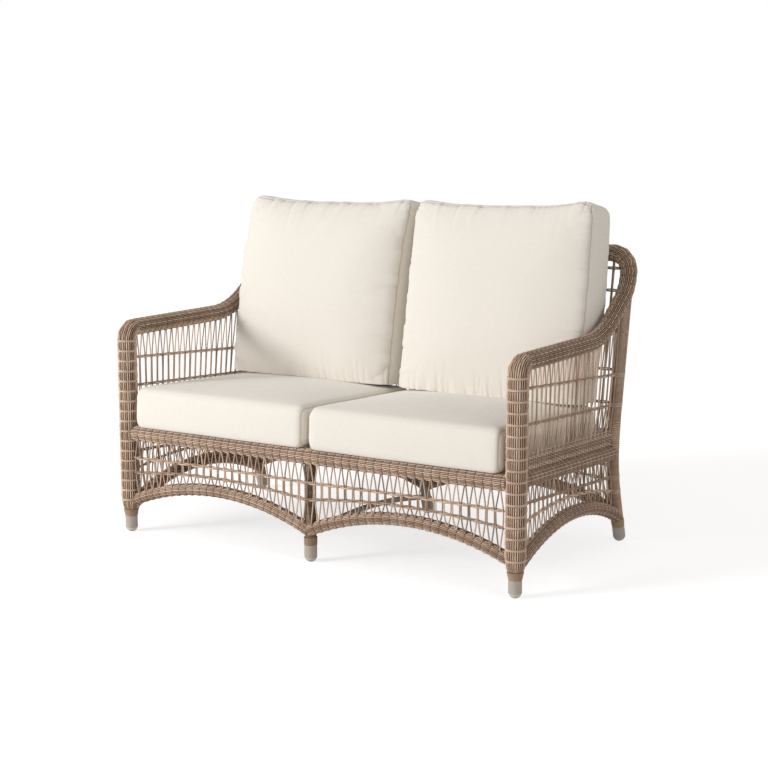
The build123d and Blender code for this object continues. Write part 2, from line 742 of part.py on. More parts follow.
# A back cushion leans on the top rail and stands on its seat cushion.
lean = radians(back_cushion_lean)
lean_offset = half_boxing + back_rear_crown + rest_clearance + arm_cover_diameter / 2
back_sink_height = seat_height(seat_rear_y) + seat_cushion_thickness - back_cushion_sink
back_origin_y = (top_rail_y - lean_offset / cos(lean)
                 - (top_rail_axis_height - back_sink_height) * tan(lean))
back_height = (back_cushion_top_height - half_boxing * sin(lean) - back_sink_height) / cos(lean)


def zip_set(plane, wall):
    """A slot, a coil and a slider on a zip's line: x along it, z out of the cloth."""
    reach = cover_cloth * 2 + wall
    slot = plane * Pos(0, 0, -reach) * Box(zip_length, zip_tape_width, 2 * reach + zip_coil_height)
    coil = plane * Pos(0, 0, (zip_coil_height - reach) / 2) * Box(
        zip_length, zip_coil_width, zip_coil_height + reach)
    lift = zip_slider_clearance
    height = zip_slider_thickness
    channel = zip_coil_width + 2 * zip_slider_clearance
    block = Pos(-(zip_length - zip_slider_length) / 2, 0, lift + height / 2) * Box(
        zip_slider_length, zip_slider_width, height)
    groove = Box(zip_length, channel, 2 * (zip_coil_height + zip_slider_clearance))
    return slot, coil, plane * (block - Pos(-zip_length / 4, 0, 0) * groove)


for name, side in sides:
    x = side * (seat_cushion_width + seat_cushion_gap) / 2
    plane = deck_plane.offset(rest_clearance)
    middle_y = (seat_rear_y - seat_cushion_depth / 2 - front_y) * hypot(1, slope)
    plane = Plane(origin=plane.from_local_coords((x, middle_y, 0)), x_dir=(1, 0, 0),
                  z_dir=deck_plane.z_dir)

    def seat(shrink):
        return cushion(plane, seat_cushion_width, seat_cushion_depth, seat_corner_radius,
                       seat_drawn_in, seat_layers, shrink)

    def back_hollow(shrink):
        """What a back cushion gives way to: the seat cushion and the space beside it."""
        return [seat(-rest_clearance - shrink),
                below(deck_plane, seat_cushion_thickness + 2 * rest_clearance + shrink)]

    back_x = side * (back_cushion_width + back_cushion_gap) / 2 + back_cushion_shift
    back = Plane(origin=(back_x, back_origin_y, back_sink_height), x_dir=(1, 0, 0),
                 z_dir=(0, -cos(lean), sin(lean)))
    back_middle = Plane(origin=back.from_local_coords((0, back_height / 2, 0)), x_dir=(1, 0, 0),
                        z_dir=back.z_dir)

    def back_body(shrink):
        whole = cushion(back_middle, back_cushion_width, back_height, back_corner_radius,
                        back_drawn_in, back_layers, shrink)
        return trim(whole, back_hollow(shrink))

    side_span = seat_cushion_width - 2 * seat_corner_radius
    wall_dip = seat_drawn_in * (zip_length / side_span) ** 2
    seat_zip = Plane(origin=plane.from_local_coords(
        (0, seat_cushion_depth / 2 - seat_drawn_in + wall_dip, seat_cushion_thickness / 2)),
        x_dir=(-1, 0, 0), z_dir=plane.y_dir)
    back_zip = Plane(origin=back.from_local_coords(
        (0, back_zip_height, -half_boxing - back_rear_crown)),
        x_dir=(-1, 0, 0), z_dir=-back.z_dir)
    for cushion_name, filling, body, zip_plane, wall in (
            (f"{name}_seat", "foam", seat, seat_zip, seat_drawn_in),
            (f"{name}_back", "fill", back_body, back_zip, 0)):
        whole, inside = body(0), body(cover_cloth)
        slot, coil, slider = zip_set(zip_plane, wall)
        shell = whole - inside
        parts[f"{cushion_name}_cover"] = shell - slot
        parts[f"{cushion_name}_{filling}"] = body(filling_shrink)
        parts[f"{cushion_name}_zip"] = (shell & slot) + (coil - inside)
        parts[f"{cushion_name}_zip_slider"] = slider

os.makedirs("parts", exist_ok=True)
for name, shape in parts.items():
    export_step(shape, f"parts/{name}.step")
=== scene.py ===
import bpy
import bmesh
import json
import random
from math import atan2, cos, hypot, pi, radians, sin, sqrt, tan
from mathutils import Matrix, Vector, noise


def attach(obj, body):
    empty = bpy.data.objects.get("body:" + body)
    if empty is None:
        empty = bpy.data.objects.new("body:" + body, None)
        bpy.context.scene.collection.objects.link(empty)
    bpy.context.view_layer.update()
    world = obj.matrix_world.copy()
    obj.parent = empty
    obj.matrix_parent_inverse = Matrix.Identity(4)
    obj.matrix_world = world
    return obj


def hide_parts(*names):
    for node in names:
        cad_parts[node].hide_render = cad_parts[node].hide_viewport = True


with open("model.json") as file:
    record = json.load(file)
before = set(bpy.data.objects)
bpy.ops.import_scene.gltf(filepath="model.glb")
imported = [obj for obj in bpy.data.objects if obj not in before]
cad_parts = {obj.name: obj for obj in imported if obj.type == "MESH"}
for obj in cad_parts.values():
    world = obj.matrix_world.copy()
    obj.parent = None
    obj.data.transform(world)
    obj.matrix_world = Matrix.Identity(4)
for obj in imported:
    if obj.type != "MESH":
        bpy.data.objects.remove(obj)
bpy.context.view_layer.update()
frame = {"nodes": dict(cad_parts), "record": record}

random.seed(7)

# Lines of the frame, in metres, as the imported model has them
lines = {
    "legX": 0.685, "frontY": -0.3675, "rearFootY": 0.3485,
    "hemZ": 0.075, "taperTopZ": 0.112,
    "armZ": 0.652, "topY": 0.371, "topZ": 0.893,
    "postCorner": 0.036, "swoopAngle": radians(35), "swoopRadius": 0.29,
    "kneeDrop": 0.105, "kneeRadius": 0.104, "uprightAngle": radians(85), "topCorner": 0.054,
    "waistZ": 0.262, "waistForward": 0.083, "waistRadius": 0.5,
    "legHeadIn": 0.012, "legHeadDown": 0.02,
    "centerSetback": 0.008, "centerWrapTop": 0.3, "seatZ": 0.347, "seatSlope": tan(radians(2.9)),
    "frontArchPeak": 0.172, "frontArchRise": 0.075, "sideArchPeak": 0.1635, "sideArchRise": 0.082,
    "frontRailEnd": 0.66, "rearRailEnd": 0.665, "sideRailStart": 0.025, "sideRailEndY": 0.262,
}
radiusOf = {"post": 0.031, "hem": 0.025, "arm": 0.0275, "frontRail": 0.026, "rail": 0.023,
            "frontArch": 0.020, "sideArch": 0.022, "rearWrap": 0.0195, "centerWrap": 0.018}

legX, frontY, armZ = lines["legX"], lines["frontY"], lines["armZ"]
topY, topZ, slope = lines["topY"], lines["topZ"], lines["seatSlope"]
kneeY = topY - lines["kneeDrop"] / tan(lines["uprightAngle"])
kneeZ = topZ - lines["kneeDrop"]
swoopY = kneeY - (kneeZ - armZ) / tan(lines["swoopAngle"])
waistY = lines["rearFootY"] - lines["waistForward"]
leanRun = (kneeY - lines["legHeadIn"] - waistY) / (kneeZ - lines["waistZ"])
splayRun = lines["waistForward"] / lines["waistZ"]
frontRailZ = lines["seatZ"] - radiusOf["frontRail"]


def seatZ(y):
    return lines["seatZ"] - slope * (y - frontY)


# Lines and strands. The points of a woven line are a third of a rib's spacing apart.
lineSize = {"step": 0.0136 / 3, "arcStep": 0.003, "archPieces": 200, "ringPieces": 24}


def evenly(path, step):
    # the same line with its points a steady step apart
    spans = [(b - a).length for a, b in zip(path, path[1:])]
    total = sum(spans)
    count = max(2, round(total / step))
    points, place, passed = [path[0].copy()], 0, 0.0
    for index in range(1, count):
        goal = total * index / count
        while passed + spans[place] < goal:
            passed += spans[place]
            place += 1
        points.append(path[place].lerp(path[place + 1], (goal - passed) / spans[place]))
    return points + [path[-1].copy()]


def bentLine(corners, radii, step=lineSize["step"]):
    # straights joined by arcs
    corners = [Vector(corner) for corner in corners]
    path = [corners[0]]
    for before, corner, after, radius in zip(corners, corners[1:], corners[2:], radii):
        back, on = (before - corner).normalized(), (after - corner).normalized()
        half = back.angle(on) / 2
        center = corner + (back + on).normalized() * radius / sin(half)
        spoke = corner + back * radius / tan(half) - center
        axis, turn = on.cross(back), pi - 2 * half
        pieces = max(3, round(radius * turn / lineSize["arcStep"]))
        path += [center + Matrix.Rotation(turn * part / pieces, 3, axis) @ spoke
                 for part in range(pieces + 1)]
    return evenly(path + [corners[-1]], step)


def archLine(place, start, peak, end):
    # a low arc through three points of a panel; place turns (s, z) into a point
    (s0, z0), (s1, z1), (s2, z2) = start, peak, end
    d = 2 * (s0 * (z1 - z2) + s1 * (z2 - z0) + s2 * (z0 - z1))
    a, b, c = s0 * s0 + z0 * z0, s1 * s1 + z1 * z1, s2 * s2 + z2 * z2
    cs = (a * (z1 - z2) + b * (z2 - z0) + c * (z0 - z1)) / d
    cz = (a * (s2 - s1) + b * (s0 - s2) + c * (s1 - s0)) / d
    radius = hypot(s0 - cs, z0 - cz)
    first, last, pieces = atan2(z0 - cz, s0 - cs), atan2(z2 - cz, s2 - cs), lineSize["archPieces"]
    turns = [first + (last - first) * part / pieces for part in range(pieces + 1)]
    return evenly([place(cs + radius * cos(turn), cz + radius * sin(turn)) for turn in turns],
                  lineSize["step"])


def crossways(path):
    # two steady directions across a line at each of its points
    pairs, side = [], None
    for place in range(len(path)):
        ahead = (path[min(place + 1, len(path) - 1)] - path[max(place - 1, 0)]).normalized()
        if side is None:
            side = ahead.orthogonal().normalized()
            if abs(ahead.x) < 0.5:                      # a line that doesn't run along x
                side = Vector((1, 0, 0))
        side = (side - ahead * side.dot(ahead)).normalized()
        pairs.append((side.copy(), ahead.cross(side)))
    return pairs


def ringAt(center, across, up, reach):
    # a closed ring of short chords
    turns = [2 * pi * part / lineSize["ringPieces"] for part in range(lineSize["ringPieces"] + 1)]
    return [center + across * reach * cos(turn) + up * reach * sin(turn) for turn in turns]


def addStrands(name, runs, thickness, tones, replaced=(), radii=None, sides=0):
    # round strands as bevelled lines, each run in one of the tones
    curve = bpy.data.curves.new(name, "CURVE")
    curve.dimensions = "3D"
    curve.bevel_depth = thickness / 2
    curve.bevel_resolution = sides
    curve.use_fill_caps = True
    for tone in tones:
        curve.materials.append(tone)
    for run in runs:
        spline = curve.splines.new("POLY")
        spline.points.add(len(run) - 1)
        spline.points.foreach_set("co", [value for point in run for value in (*point, 1.0)])
        if radii:
            spline.points.foreach_set("radius", radii)
        spline.material_index = random.randrange(len(tones))
        spline.use_smooth = True
    piece = bpy.data.objects.new(name, curve)
    bpy.context.collection.objects.link(piece)
    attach(piece, "frame")
    if replaced:
        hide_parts(*replaced)


# Materials

def linear(code):
    values = [int(code[place:place + 2], 16) / 255 for place in (1, 3, 5)]
    return tuple(v / 12.92 if v <= 0.04045 else ((v + 0.055) / 1.055) ** 2.4 for v in values) + (1.0,)


def node(tree, kind, links=None, **settings):
    made = tree.nodes.new(kind)
    for key, value in settings.items():
        if hasattr(made, key):
            setattr(made, key, value)
        else:
            made.inputs[key.replace("_", " ")].default_value = value
    for key, source in (links or {}).items():
        tree.links.new(source, made.inputs[key])
    return made


def newMaterial(name, roughness, **shader):
    material = bpy.data.materials.new(name)
    material.use_nodes = True
    tree = material.node_tree
    surface = tree.nodes["Principled BSDF"]
    surface.inputs["Roughness"].default_value = roughness
    for key, value in shader.items():
        surface.inputs[key.replace("_", " ")].default_value = value
    return material, tree, surface


def linkSurface(tree, surface, color, bump):
    tree.links.new(color, surface.inputs["Base Color"])
    tree.links.new(bump.outputs["Normal"], surface.inputs["Normal"])


def blendColors(tree, share, low, high):
    mix = node(tree, "ShaderNodeMix", data_type="RGBA")
    mix.inputs["A"].default_value, mix.inputs["B"].default_value = linear(low), linear(high)
    tree.links.new(share, mix.inputs["Factor"])
    return mix.outputs["Result"]


# sizes of the patterns, in metres
resinPattern = {"drift": 0.045, "speck": 0.0022, "depth": 0.0006}
coatPattern = {"cloud": 0.03, "depth": 0.0004}
clothPattern = {"slub": 0.012, "seamWidth": 0.0026, "seamDepth": 0.0014, "seamShade": "#ded5c9",
                "waveBand": 0.314}      # the width of a wave texture's band at scale 1


def resinStrand(name, low, high):
    # Round extruded polyethylene strand, matt with a fine grain. The tone wanders along each
    # strand over a few centimetres and is speckled at about 2 mm.
    material, tree, surface = newMaterial(name, 0.52, Specular_IOR_Level=0.35)
    place = {"Vector": node(tree, "ShaderNodeTexCoord").outputs["Object"]}
    drift = node(tree, "ShaderNodeTexNoise", place, Scale=1 / resinPattern["drift"], Detail=2.0)
    speck = node(tree, "ShaderNodeTexNoise", place, Scale=1 / resinPattern["speck"], Detail=1.0)
    share = node(tree, "ShaderNodeMath", {0: drift.outputs["Fac"], 1: speck.outputs["Fac"]},
                 operation="ADD")
    spread = node(tree, "ShaderNodeMapRange", {"Value": share.outputs["Value"]},
                  From_Min=0.7, From_Max=1.3)
    bump = node(tree, "ShaderNodeBump", {"Height": speck.outputs["Fac"]}, Strength=0.25,
                Distance=resinPattern["depth"])
    linkSurface(tree, surface, blendColors(tree, spread.outputs["Result"], low, high), bump)
    return material


def coatedTube(name, low, high, roughness, grain):
    # Powder-coated or moulded: an even colour with a faint orange-peel grain.
    material, tree, surface = newMaterial(name, roughness)
    place = {"Vector": node(tree, "ShaderNodeTexCoord").outputs["Object"]}
    cloud = node(tree, "ShaderNodeTexNoise", place, Scale=1 / coatPattern["cloud"], Detail=3.0)
    peel = node(tree, "ShaderNodeTexNoise", place, Scale=1 / grain, Detail=2.0)
    bump = node(tree, "ShaderNodeBump", {"Height": peel.outputs["Fac"]}, Strength=0.2,
                Distance=coatPattern["depth"])
    linkSurface(tree, surface, blendColors(tree, cloud.outputs["Fac"], low, high), bump)
    return material


def wovenCloth(name, low, high, thread, roughness, depth, seamed=False):
    # Solution-dyed acrylic canvas, matt with a soft sheen. The real threads are about 0.5 mm,
    # too fine to show, so the weave is drawn at the thread given here.
    material, tree, surface = newMaterial(name, roughness, Sheen_Weight=0.25, Sheen_Roughness=0.6)
    place = {"Vector": node(tree, "ShaderNodeTexCoord").outputs["Object"]}
    waves = [node(tree, "ShaderNodeTexWave", place, bands_direction=way, Distortion=0.6, Detail=1.0,
                  Scale=clothPattern["waveBand"] / thread) for way in ("X", "Z")]
    weave = node(tree, "ShaderNodeMath", {0: waves[0].outputs["Fac"], 1: waves[1].outputs["Fac"]},
                 operation="MULTIPLY")
    slub = node(tree, "ShaderNodeTexNoise", place, Scale=1 / clothPattern["slub"], Detail=4.0)
    share = node(tree, "ShaderNodeMath", {0: weave.outputs["Value"], 1: slub.outputs["Fac"]},
                 operation="ADD")
    spread = node(tree, "ShaderNodeMapRange", {"Value": share.outputs["Value"]},
                  From_Min=0.3, From_Max=1.3)
    color = blendColors(tree, spread.outputs["Result"], low, high)
    bump = node(tree, "ShaderNodeBump", {"Height": share.outputs["Value"]}, Strength=0.18,
                Distance=depth)
    if seamed:
        # a sewn seam: a fine furrow where the stored distance to the seam is nil, darkened there with
        # painted shade
        away = node(tree, "ShaderNodeAttribute", attribute_name="seamDistance")
        size = node(tree, "ShaderNodeMath", {0: away.outputs["Fac"]}, operation="ABSOLUTE")
        furrow = node(tree, "ShaderNodeMapRange", {"Value": size.outputs["Value"]},
                      From_Max=clothPattern["seamWidth"])
        bump = node(tree, "ShaderNodeBump", {"Height": furrow.outputs["Result"],
                                             "Normal": bump.outputs["Normal"]},
                    Strength=0.6, Distance=clothPattern["seamDepth"])
        shade = blendColors(tree, furrow.outputs["Result"], clothPattern["seamShade"], "#ffffff")
        shadedSeamColor = node(tree, "ShaderNodeMix", {"A": color, "B": shade}, data_type="RGBA",
                    blend_type="MULTIPLY", Factor=1.0)
        color = shadedSeamColor.outputs["Result"]
    linkSurface(tree, surface, color, bump)
    return material


resinTones = [resinStrand("resin strand light", "#ba9e88", "#d8c1ad"),
              resinStrand("resin strand mid", "#a58a75", "#c4aa96"),
              resinStrand("resin strand dark", "#8a725f", "#aa917d")]
# painted light: a lighter, lit copy of the resin tones for the posts, standing for the light they catch
paintedLitPostTones = [resinStrand("resin post strand light", "#c2a48c", "#dfc9b5"),
             resinStrand("resin post strand mid", "#b09079", "#cfb6a0"),
             resinStrand("resin post strand dark", "#957761", "#b69a84")]
wrapTones = [resinStrand("resin wrap", "#a88c75", "#c5aa94")]
shadedWrapTones = [resinStrand("resin wrap shaded", "#77604e", "#8e7562")]
hoopTones = [resinStrand("resin hoop strand", "#c4aa95", "#dcc8b6")]
bindingTones = [resinStrand("resin binding", "#a1866c", "#baa086")]
# near-black painted shade: the underlays and the band ribs take this colour in place of the shade in the
# gaps
paintedShadeCore = resinStrand("painted shade underlay", "#241a13", "#32251b")
frameCoat = coatedTube("taupe powder coat", "#a99f96", "#b4aaa1", 0.45, 0.0012)
glideNylon = coatedTube("moulded nylon glide", "#c4beb6", "#d2ccc5", 0.4, 0.002)
webbing = wovenCloth("elastic webbing", "#2c2824", "#3a3530", 0.0015, 0.85, 0.0006)
cushionCanvas = wovenCloth("canvas cushion cloth", "#e0dad1", "#e6e1d8", 0.0014, 0.9, 0.0003,
                           seamed=True)
zipCloth = wovenCloth("zip tape", "#e2dacd", "#ece5d9", 0.0012, 0.85, 0.0003)
zipMetal = coatedTube("zinc zip slider", "#a19d97", "#b1ada7", 0.35, 0.001)
print("materials made")

# the model's resin weave takes the near-black painted shade colour
finishes = {"frame_aluminium": frameCoat, "resin_weave": paintedShadeCore, "glide_plastic": glideNylon,
            "seat_webbing": webbing, "cushion_fabric": cushionCanvas,
            "cushion_filling": cushionCanvas, "zip_tape": zipCloth, "zip_slider": zipMetal}
for subpart in frame["record"]["subparts"]:
    cadPiece = frame["nodes"][subpart["node"]]
    cadPiece.data.materials.clear()
    cadPiece.data.materials.append(finishes[subpart["material_slot"]])


# Covers woven along the tubes: lengthwise strands over and under ribs, in swells that end at a
# sunk ring. On the posts they bulge between twined hoops. Spacings are in points of the line,
# counts are strands round a cover, and core is how far the dark underlay lies below the surface.
# The underlay's near-black is painted shade for the gaps between the strands.
weaveStyle = {"strand": 0.0043, "ribPoints": 3, "swing": 0.0008,
              "swellPoints": 6, "swell": 0.0026, "swellRound": 0.6,
              "hoopPoints": 7, "bulge": 0.0034, "bulgeRound": 0.7,
              "hoop": 0.0036, "hoopRise": 0.0028, "hoopSwing": 0.0007,
              "ring": 0.0026, "ringDepth": 0.0018, "core": 0.0078, "easePoints": 8}
strandCounts = {"arm": 28, "frontRail": 28, "rail": 26, "frontArch": 22, "sideArch": 24}


def rounded(place, spacing, power):
    # 0 at each spacing along a line and 1 halfway between
    return abs(sin(pi * place / spacing)) ** power


def wovenRuns(path, radii, count, hoopEnd=-1):
    style, pairs, runs = weaveStyle, crossways(path), []
    for strand in range(count):
        turn = 2 * pi * strand / count
        run = []
        for place, (point, (across, up)) in enumerate(zip(path, pairs)):
            if place <= hoopEnd:
                inset = style["bulge"] * (1 - rounded(place, style["hoopPoints"], style["bulgeRound"]))
            else:
                inset = style["swing"] * (1 - cos(pi * place / style["ribPoints"] + pi * strand))
                inset += style["swell"] * (1 - rounded(place, style["swellPoints"], style["swellRound"]))
            reach = radii[place] - style["strand"] / 2 - inset
            run.append(point + across * reach * cos(turn) + up * reach * sin(turn))
        runs.append(run)
    return runs


def addRings(name, path, radii, first):
    # sunk rings in the shaded wrap colour, painted shade where the swells meet; first is the line's place
    # among its swells
    pairs, rings = crossways(path), []
    for place, (point, (across, up)) in enumerate(zip(path, pairs)):
        if (first + place) % weaveStyle["swellPoints"] == 0 and 0 < place < len(path) - 1:
            reach = radii[place] - weaveStyle["ring"] / 2 - weaveStyle["ringDepth"]
            rings.append(ringAt(point, across, up, reach))
    addStrands(name, rings, weaveStyle["ring"], shadedWrapTones)


def wovenCover(name, nodes, path, radii, runs=None, count=0, tones=resinTones, first=0):
    runs = runs or wovenRuns(path, radii, count)
    addStrands(name, runs, weaveStyle["strand"], tones, nodes)
    if tones is resinTones:
        addRings(name + "Rings", path, radii, first)
    # a near-black tube under the strands, painted shade that shows through their gaps
    largest = max(radii) - weaveStyle["core"]
    addStrands(name + "ShadeUnderlay", [path], 2 * largest, [paintedShadeCore],
               radii=[(radius - weaveStyle["core"]) / largest for radius in radii], sides=4)


def addHoops(name, path, radii, count):
    # two twined strands round a post at each hoop, which cross at every lengthwise strand
    style, pairs, runs = weaveStyle, crossways(path), []
    for place in range(style["hoopPoints"], len(path), style["hoopPoints"]):
        across, up = pairs[place]
        ahead = across.cross(up)
        for way in (-1, 1):
            run = []
            for part in range(2 * count + 1):
                turn, twine = pi * part / count, pi * part / 2
                reach = radii[place] - style["hoop"] / 2 - style["hoopSwing"] * (1 - way * sin(twine))
                run.append(path[place] + across * reach * cos(turn) + up * reach * sin(turn)
                           + ahead * way * style["hoopRise"] * cos(twine))
            runs.append(run)
    addStrands(name, runs, style["hoop"], hoopTones)


# One line runs up each post, along the arm, up the swoop and along the top rail to the middle
for label, way in (("left", -1), ("right", 1)):
    if way < 0:
        whole = bentLine([(-legX, frontY, lines["hemZ"]), (-legX, frontY, armZ), (-legX, swoopY, armZ),
                          (-legX, kneeY, kneeZ), (-legX, topY, topZ), (0, topY, topZ)],
                         [lines[bend] for bend in ("postCorner", "swoopRadius", "kneeRadius", "topCorner")])
        hoopEnd = next(place for place, point in enumerate(whole) if point.y > frontY + 0.001)
        hoopEnd -= hoopEnd % weaveStyle["hoopPoints"]
        cornerEnd = next(place for place, point in enumerate(whole)
                         if point.y > frontY + lines["postCorner"])
        railStart = next(place for place, point in enumerate(whole)
                         if point.x > lines["topCorner"] - legX)
        widths, ease = [], weaveStyle["easePoints"]
        for place, point in enumerate(whole):
            hemShare = (point.z - lines["hemZ"]) / (lines["taperTopZ"] - lines["hemZ"])
            cornerShare = min(1, max(0, (place - cornerEnd + ease) / ease))
            widths.append(radiusOf["post"] + min(0, hemShare - 1) * (radiusOf["post"] - radiusOf["hem"])
                          + cornerShare * (radiusOf["arm"] - radiusOf["post"]))
        runs = wovenRuns(whole, widths, strandCounts["arm"], hoopEnd)
    else:
        whole = [Vector((-point.x, point.y, point.z)) for point in whole]
        runs = [[Vector((-point.x, point.y, point.z)) for point in run] for run in runs]
    topNodes = ["top_rail_weave"] if way < 0 else []
    # the posts take the lit copy of the resin tones, painted light
    for part, first, last, nodes, tones in (
            ("Post", 0, cornerEnd, [f"{label}_post_weave"], paintedLitPostTones),
            ("Arm", cornerEnd, railStart, [f"{label}_arm_weave"], resinTones),
            ("TopRail", railStart, len(whole) - 1, topNodes, resinTones)):
        wovenCover(f"{label}{part}Weave", nodes, whole[first:last + 1], widths[first:last + 1],
                   [run[first:last + 1] for run in runs], tones=tones, first=first)
    addHoops(f"{label}PostHoops", whole[:hoopEnd + 1], widths, strandCounts["arm"])


def railCover(name, replaced, start, end, kind):
    path = bentLine([start, end], [])
    wovenCover(name, [replaced], path, [radiusOf[kind]] * len(path), count=strandCounts[kind])


railCover("frontRailWeave", "front_rail_weave", (-lines["frontRailEnd"], frontY, frontRailZ),
          (lines["frontRailEnd"], frontY, frontRailZ), "frontRail")
for label, way in (("left", -1), ("right", 1)):
    endY = lines["sideRailEndY"]
    railCover(f"{label}RailWeave", f"{label}_rail_weave",
              (way * legX, frontY + lines["sideRailStart"], seatZ(frontY) - radiusOf["rail"]),
              (way * legX, endY, seatZ(endY) - radiusOf["rail"]), "rail")


# Rear legs: a smooth spiral wrap on a bowed tube
legLine = [(lines["rearFootY"] - lines["hemZ"] * splayRun, lines["hemZ"]), (waistY, lines["waistZ"]),
           (kneeY - lines["legHeadIn"], kneeZ - lines["legHeadDown"])]


def rearLegY(z):
    # where the rear leg's axis is at a height
    tilt = (pi - Vector((0, splayRun, -1)).angle(Vector((0, leanRun, 1)))) / 2
    reach = lines["waistRadius"] * tan(tilt)
    low = lines["waistZ"] - reach * cos(atan2(splayRun, 1))
    high = lines["waistZ"] + reach * cos(atan2(leanRun, 1))
    if z < low:
        return lines["rearFootY"] - z * splayRun
    if z > high:
        return waistY + (z - lines["waistZ"]) * leanRun
    toward = (Vector((splayRun, -1)).normalized() + Vector((leanRun, 1)).normalized()).normalized()
    center = Vector((waistY, lines["waistZ"])) + toward * lines["waistRadius"] / cos(tilt)
    return center.x - sqrt(lines["waistRadius"] ** 2 - (z - center.y) ** 2)


railRearZ = seatZ(rearLegY(lines["seatZ"])) - radiusOf["rail"]
railRearY = rearLegY(railRearZ)
railCover("rearRailWeave", "rear_rail_weave", (-lines["rearRailEnd"], railRearY, railRearZ),
          (lines["rearRailEnd"], railRearY, railRearZ), "rail")

wrapStyle = {"strand": 0.0034, "pitch": 1.04, "turnPoints": 14, "core": 0.7}   # pitch, core: in strands


def spiralWrap(name, nodes, corners, radii, startRadius, endRadius, strand=wrapStyle["strand"],
               tones=wrapTones):
    # one strand wound closely round a tube
    turnPoints, core = wrapStyle["turnPoints"], strand * wrapStyle["core"]
    path = bentLine(corners, radii, strand * wrapStyle["pitch"] / turnPoints)
    pairs = crossways(path)
    count = len(path) - 1
    run = []
    for place, (point, (across, up)) in enumerate(zip(path, pairs)):
        reach = startRadius + (endRadius - startRadius) * place / count - strand / 2
        turn = 2 * pi * place / turnPoints
        run.append(point + across * reach * cos(turn) + up * reach * sin(turn))
    addStrands(name, [run], strand, tones, nodes)
    # a near-black tube under the wrap, painted shade that shows through its gaps
    largest = max(startRadius, endRadius) - core
    thin = path[::turnPoints] + [path[-1]]
    addStrands(name + "ShadeUnderlay", [thin], 2 * largest, [paintedShadeCore], sides=4, radii=[
        (startRadius + (endRadius - startRadius) * place / (len(thin) - 1) - core) / largest
        for place in range(len(thin))])


# Strands of the rows and bands pass round the rear legs as lighter rings
tieSize = {"rows": (0.217, 0.170, 0.441, 0.532, 0.662, 0.781), "spread": 0.0045, "bandZ": 0.306,
           "bandPitch": 0.0068, "bandTies": 13, "strand": 0.0030, "sunk": 0.0006, "slant": 0.12}
tieHeights = [z + rise for z in tieSize["rows"] for rise in (-tieSize["spread"], 0, tieSize["spread"])]
tieHeights += [tieSize["bandZ"] + tieSize["bandPitch"] * tie for tie in range(tieSize["bandTies"])]


for label, way in (("left", -1), ("right", 1)):
    corners = [(way * legX, y, z) for y, z in legLine]
    spiralWrap(f"{label}RearLegWrap", ["rear_leg_wraps"] if way < 0 else [], corners,
               [lines["waistRadius"]], radiusOf["rearWrap"], radiusOf["rearWrap"])
    rings = [ringAt(Vector((way * legX, rearLegY(z), z)), Vector((1, 0, 0)),
                    Vector((0, 1, tieSize["slant"])), radiusOf["rearWrap"] - tieSize["sunk"])
             for z in tieHeights]
    addStrands(f"{label}LegTies", rings, tieSize["strand"], hoopTones)
centerY = frontY + lines["centerSetback"]
# the front centre leg's wrap takes the shaded wrap colour, painted shade for the shadow it sits in behind
# the lattice
spiralWrap("frontCenterLegWrap", ["front_center_leg_wrap"],
           [(0, centerY, lines["hemZ"]), (0, centerY, lines["centerWrapTop"])], [],
           radiusOf["centerWrap"], radiusOf["centerWrap"], tones=shadedWrapTones)

# Bindings round the foot of each wrapped leg, which widen upwards to the leg's wrap
bindingSize = {"lowZ": 0.052, "highZ": 0.075, "strand": 0.0026, "lowRadius": 0.0202,
               "hemRadius": 0.025, "thinRadius": 0.021}
feet = [(-legX, frontY, 0, "hemRadius"), (legX, frontY, 0, "hemRadius"),
        (-legX, lines["rearFootY"], splayRun, "thinRadius"),
        (legX, lines["rearFootY"], splayRun, "thinRadius"), (0, centerY, 0, "thinRadius")]
low, high = bindingSize["lowZ"], bindingSize["highZ"]
for place, (x, y, run, top) in enumerate(feet):
    spiralWrap(f"footBinding{place + 1}", ["leg_bindings"] if place == 0 else [],
               [(x, y - low * run, low), (x, y - high * run, high)], [],
               bindingSize["lowRadius"], bindingSize[top], bindingSize["strand"], bindingTones)
print("woven covers and wraps made")


# Arches
frontHalf = legX / 2
archBase = lines["frontArchPeak"] - lines["frontArchRise"]
rearArchY = rearLegY(archBase)
rearTilt = atan2(rearArchY - railRearY, railRearZ - archBase)
sideEndY = rearLegY(lines["sideArchPeak"] - lines["sideArchRise"])


def onFront(s, z, depth=0.0):
    return Vector((s, frontY - depth, z))


def onRear(s, z, depth=0.0):
    # the rear lower panel leans with the legs; depth runs out of the back
    foot = railRearY + (railRearZ - z) * tan(rearTilt)
    return Vector((s, foot + depth * cos(rearTilt), z + depth * sin(rearTilt)))


def onSide(x):
    return lambda s, z, depth=0.0: Vector((x + (depth if x > 0 else -depth), s, z))


frontEnds = ((legX, archBase), (frontHalf, lines["frontArchPeak"]), (0, archBase))
for label, way in (("left", -1), ("right", 1)):
    for end, place in (("front", onFront), ("rear", onRear)):
        path = archLine(place, *[(way * s, z) for s, z in frontEnds])
        wovenCover(f"{end}{label.title()}ArchWeave", [f"{end}_{label}_arch_weave"], path,
                   [radiusOf["frontArch"]] * len(path), count=strandCounts["frontArch"])
    base = lines["sideArchPeak"] - lines["sideArchRise"]
    path = archLine(onSide(way * legX), (frontY, base), ((frontY + sideEndY) / 2, lines["sideArchPeak"]),
                    (sideEndY, base))
    wovenCover(f"{label}ArchWeave", [f"{label}_arch_weave"], path, [radiusOf["sideArch"]] * len(path),
               count=strandCounts["sideArch"])


